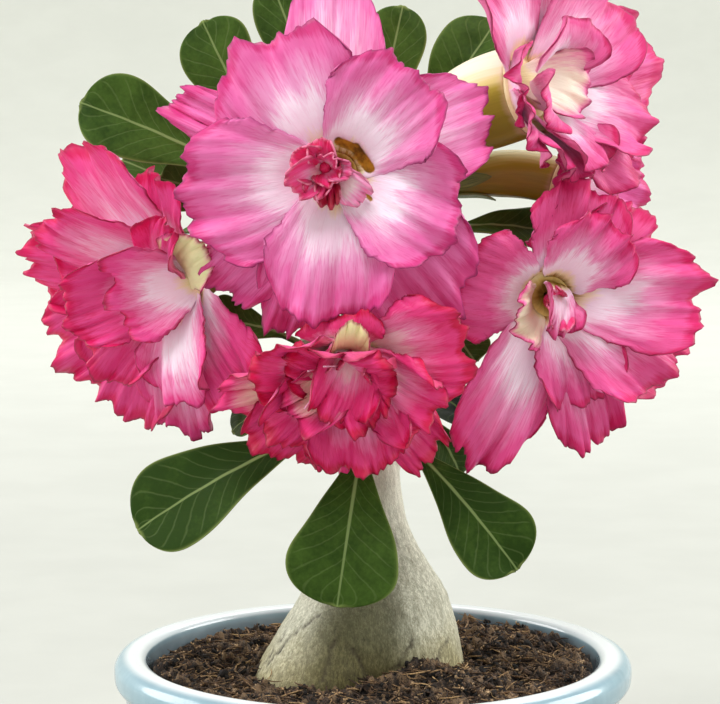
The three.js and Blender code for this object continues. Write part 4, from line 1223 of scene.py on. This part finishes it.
# How each flower is coloured: its ramp's colours, and how far the pale heart of its petals reaches out and
# across, for each layer and for single petals; a third number there is how cream that petal is.
# lift raises a petal's tip, pockets are hollows by the throat, painted olive as the throat's colour with
# painted shade, dark is how dark the throat is.
# An extra petal is a petal row with the distance of its foot from the flower's axis.
LOOKS = {
    "front": dict(
        seed=1, frill=1.25, dark=1, outer=(0.4, 0.45), inner=(0.64, 0.72),
        pockets=[((0.6, 8.4), (5.2, 6.6), 1.3), ((5.2, 6.6), (8.6, 1.4), 1.6), ((7.6, -5.2), (9, -6.4), 0.8)],
        petals=dict(outer0=(0.8, 0.9), outer1=(0.75, 0.8), inner4=(0.58, 0.6)),
        lift=dict(inner1=1, inner2=-0.8),
        colours=(CREAM, WHITE, (236, 160, 206), (230, 112, 178), (214, 66, 140), (140, 34, 92)),
    ),
    "left": dict(
        seed=2, frill=1.3, outer=(0.53, 0.55), inner=(0.47, 0.5),
        lift=dict(outer0=-3, outer3=-1, outer4=-3.2, outer6=-4.8, inner2=-1.2, inner3=1.5),
        petals=dict(outer0=(0.62, 0.66), outer4=(0.85, 0.5), inner0=(0.66, 0.6), inner3=(0.9, 0.4),
                    extra0=(0.66, 0.75), extra1=(1.5, 1.2, 0.9), extra2=(0.6, 0.5)),
        extra=[([186, 10, 12, 13.5, -10, 0.5, 1.2, 1, 12], -7), ([33, 21, 2, 8.5, 10, 0.3, 0.45, 2, 6], 4),
               ([68, 21, 5, 7.5, -10, 0.5, 0.9, 3, 8], 2)],
        colours=(CREAM, WHITE, (240, 148, 196), (232, 72, 148), (220, 26, 104), (150, 12, 58)),
    ),
    "low": dict(
        seed=3, frill=1.4, outer=(0.52, 0.54), inner=(0.53, 0.54),
        lift=dict(outer1=-1.5, outer2=-2, inner2=1.8, inner3=-1.2),
        petals=dict(outer0=(0.8, 0.6, 0.5), outer3=(0.62, 0.6), outer4=(0.62, 0.8), inner1=(0.55, 0.4, 0.3),
                    inner2=(0.6, 0.5), inner3=(0.6, 0.5), extra0=(1.7, 1.5, 0.9), extra1=(0.5, 0.6),
                    extra2=(0.8, 0.8, 0.45), extra3=(0.42, 0.4, 0.2), extra4=(0.45, 0.5), extra5=(0.35, 0.4)),
        extra=[([80, 15, 2, 5, 12, 0.6, 0.3, 1, 6], 3), ([250, 10, 12, 9.5, -12, 0.5, 1.3, 2, 12], -6),
               ([205, 17, 9, 7.5, 25, 0.6, 1, 3, 10], 0), ([305, 14, 9, 8.5, -20, 0.6, 1.3, 4, 10], -2),
               ([20, 14, 7, 8, 10, 0.5, 1.2, 5, 9], -2), ([150, 17, 7, 8, -10, 0.5, 1.2, 1.5, 9], 0)],
        colours=(CREAM, (240, 200, 212), (238, 132, 182), (228, 56, 130), (208, 14, 80), (138, 8, 46)),
    ),
    "right": dict(
        seed=4, frill=1.2, dark=0.6, outer=(0.46, 0.45), inner=(0.62, 0.56),
        lift=dict(outer2=-3.2, inner0=2.1, inner1=-2.3, inner2=-6.2),
        petals=dict(outer3=(0.62, 0.55), outer4=(0.66, 0.6), inner4=(1.2, 0.8, 0.6), extra0=(0.9, 0.8)),
        extra=[([255, 9.5, 6, 6, -25, 0.7, 0.8, 2, 8], -3.5)],
        colours=(CREAM, WHITE, (236, 146, 194), (226, 84, 152), (210, 34, 108), (144, 14, 62)),
    ),
    "upper": dict(
        seed=5, frill=0.6, outer=(0.52, 0.5), inner=(0.6, 0.6), lift=dict(inner2=-1.8),
        petals=dict(extra0=(1, 0.9, 0.5), extra1=(0.55, 0.6), extra2=(0.7, 0.7)),
        extra=[([-20, 13, 4, 9, 12, 0.4, 0.6, 2, 6], -8), ([212, 18, 6, 9, -10, 0.4, 0.5, 3, 9], 5),
               ([78, 17, 9, 10, -10, 0.5, 0.4, 3, 11], 4)],
        colours=(CREAM, WHITE, (236, 156, 200), (226, 94, 158), (210, 46, 116), (140, 20, 70)),
    ),
    "rear": dict(
        seed=6, frill=1.2, outer=(0.4, 0.4), inner=(0.4, 0.4),
        colours=(CREAM, WHITE, (236, 152, 204), (226, 94, 168), (208, 46, 122), (140, 18, 70)),
    ),
}

# Small extra curls in a flower's middle, as petal rows with the distance of their foot from its axis
# and how much deeper their pink is.
CURLS = {
    "front": [
        ([212, 10, 5, 5.2, -25, 0.8, 0.4, 3, 8], 1.4, -0.2), ([245, 8, 4, 3.6, 10, 0.8, 0.6, 5, 5], 1.6, 0.1),
        ([278, 10, 3, 3.2, 0, 0.9, 0.6, 1, 5], 3, 0.3), ([100, 7.5, 4, 3.6, 0, 0.9, 0.5, 2, 6], 1, 0.1),
        ([322, 13, 1, 4.6, 15, 0.5, 0.6, 4, 5], 3, -0.6), ([355, 7, 5, 3.2, -20, 0.8, 0.5, 2, 6], 1.5, -0.2),
    ],
    "low": [([60, 8, 6, 3.4, 0, 0.8, 0.6, 2, 5], 1.6, 0)],
    "right": [([120, 5, 4, 2.4, 0, 0.9, 0.5, 2, 3], 1.4, 0)],
}

# How far a flower's curls stand from its axis, to the right and up.
SHIFTS = {"front": (-2.4, 1.6), "low": (0, 0), "right": (0, -1)}

# Pale stamen threads that show between the crumpled petals, as points of a curve.
THREADS = {
    "low": [
        [(0, 0, 1), (-7, 4, 8), (-9, 6, 12)],
        [(1, 1, 1), (-3, 5, 8), (-5, 8, 13)],
        [(-1, -1, 1), (-8, -2, 11), (-10, -4, 14)],
    ],
}

# How much painted shade the three large lowest leaves get, where 1 is what a leaf that hangs low gets; more
# is darker.
LOW_LEAF_SHADE = {"foliage_low_left": 1.9, "foliage_low_right": 1.7, "foliage_low_front": 0.1}

# Cracks in the bark, as lines of (turn in degrees, height).
CRACKS = [
    [(204, 57), (212, 63), (222, 68), (233, 71.5)],
    [(258, 66), (264, 62), (270, 58), (274, 55)],
    [(196, 54), (201, 60), (205, 66)],
    [(318, 58), (324, 62), (333, 64)],
    [(284, 54), (288, 58), (296, 60), (304, 66)],
    [(246, 56), (250, 60), (249, 66)],
]

# ---------- Assembly ----------

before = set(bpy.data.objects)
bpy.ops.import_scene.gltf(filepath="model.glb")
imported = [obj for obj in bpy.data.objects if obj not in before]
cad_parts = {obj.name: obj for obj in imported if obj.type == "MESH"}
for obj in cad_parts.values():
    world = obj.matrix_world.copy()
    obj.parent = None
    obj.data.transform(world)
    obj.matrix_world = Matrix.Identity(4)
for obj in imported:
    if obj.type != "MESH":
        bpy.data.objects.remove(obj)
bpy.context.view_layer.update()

CURL, TUBE, BARK, GLAZE = curl_material(), tube_material(), bark_material(), glaze_material()
THROAT = throat_material()
LEAF = [
    leaf_material("leaf_above", (3, 12, 1), (28, 46, 3), (112, 134, 62), 0.38),
    leaf_material("leaf_below", (38, 60, 16), (70, 96, 36), (140, 158, 100), 0.5),
]
SOIL = [
    soil_material("peat", (10, 6, 4), (40, 28, 20), (120, 96, 70)),
    soil_material("crumb", (16, 9, 5), (92, 68, 49), (222, 188, 144)),
    soil_material("fibre", (52, 36, 24), (116, 88, 60), (196, 160, 112)),
]


def finish_piece(piece, slot, *nodes):
    """A finished piece rides on the object and stands for its solids, whose parts are hidden; slot is not
    used.
    """
    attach(piece, "root")
    if nodes:
        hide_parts(*nodes)


add_camera()
finish_piece(bowl_piece(), "glaze", "pot")
finish_piece(soil_ground(), "soil", "soil")
draws = np.random.default_rng(11)
finish_piece(soil_crumbs(draws), "soil")
finish_piece(soil_fibres(draws), "soil")
finish_piece(trunk_piece(), "bark", "trunk")
for number, (name, flower) in enumerate(FLOWERS.items()):
    look = LOOKS[name]
    material = petal_material(f"petal_{name}", OLIVE if "dark" in look else YELLOW, *look["colours"])
    finish_piece(petal_piece(f"bloom_{name}_lobes", flower, material, look), "petal", f"flower_{name}_petals")
    finish_piece(tube_piece(f"bloom_{name}_tube", flower, number), "flower_tube", f"flower_{name}_tube")
    if flower["centre"]:
        threads = THREADS.get(name, [])
        centre = centre_piece(f"bloom_{name}_centre", flower, CURLS[name], 70 + number, SHIFTS[name], threads)
        finish_piece(centre, "flower_centre", f"flower_{name}_centre")
for number, (name, row) in enumerate(LEAVES.items()):
    finish_piece(leaf_piece(f"foliage_{name}", row, 200 + number * 5), "leaf", f"leaf_{name}")

add_floor()
add_studio()
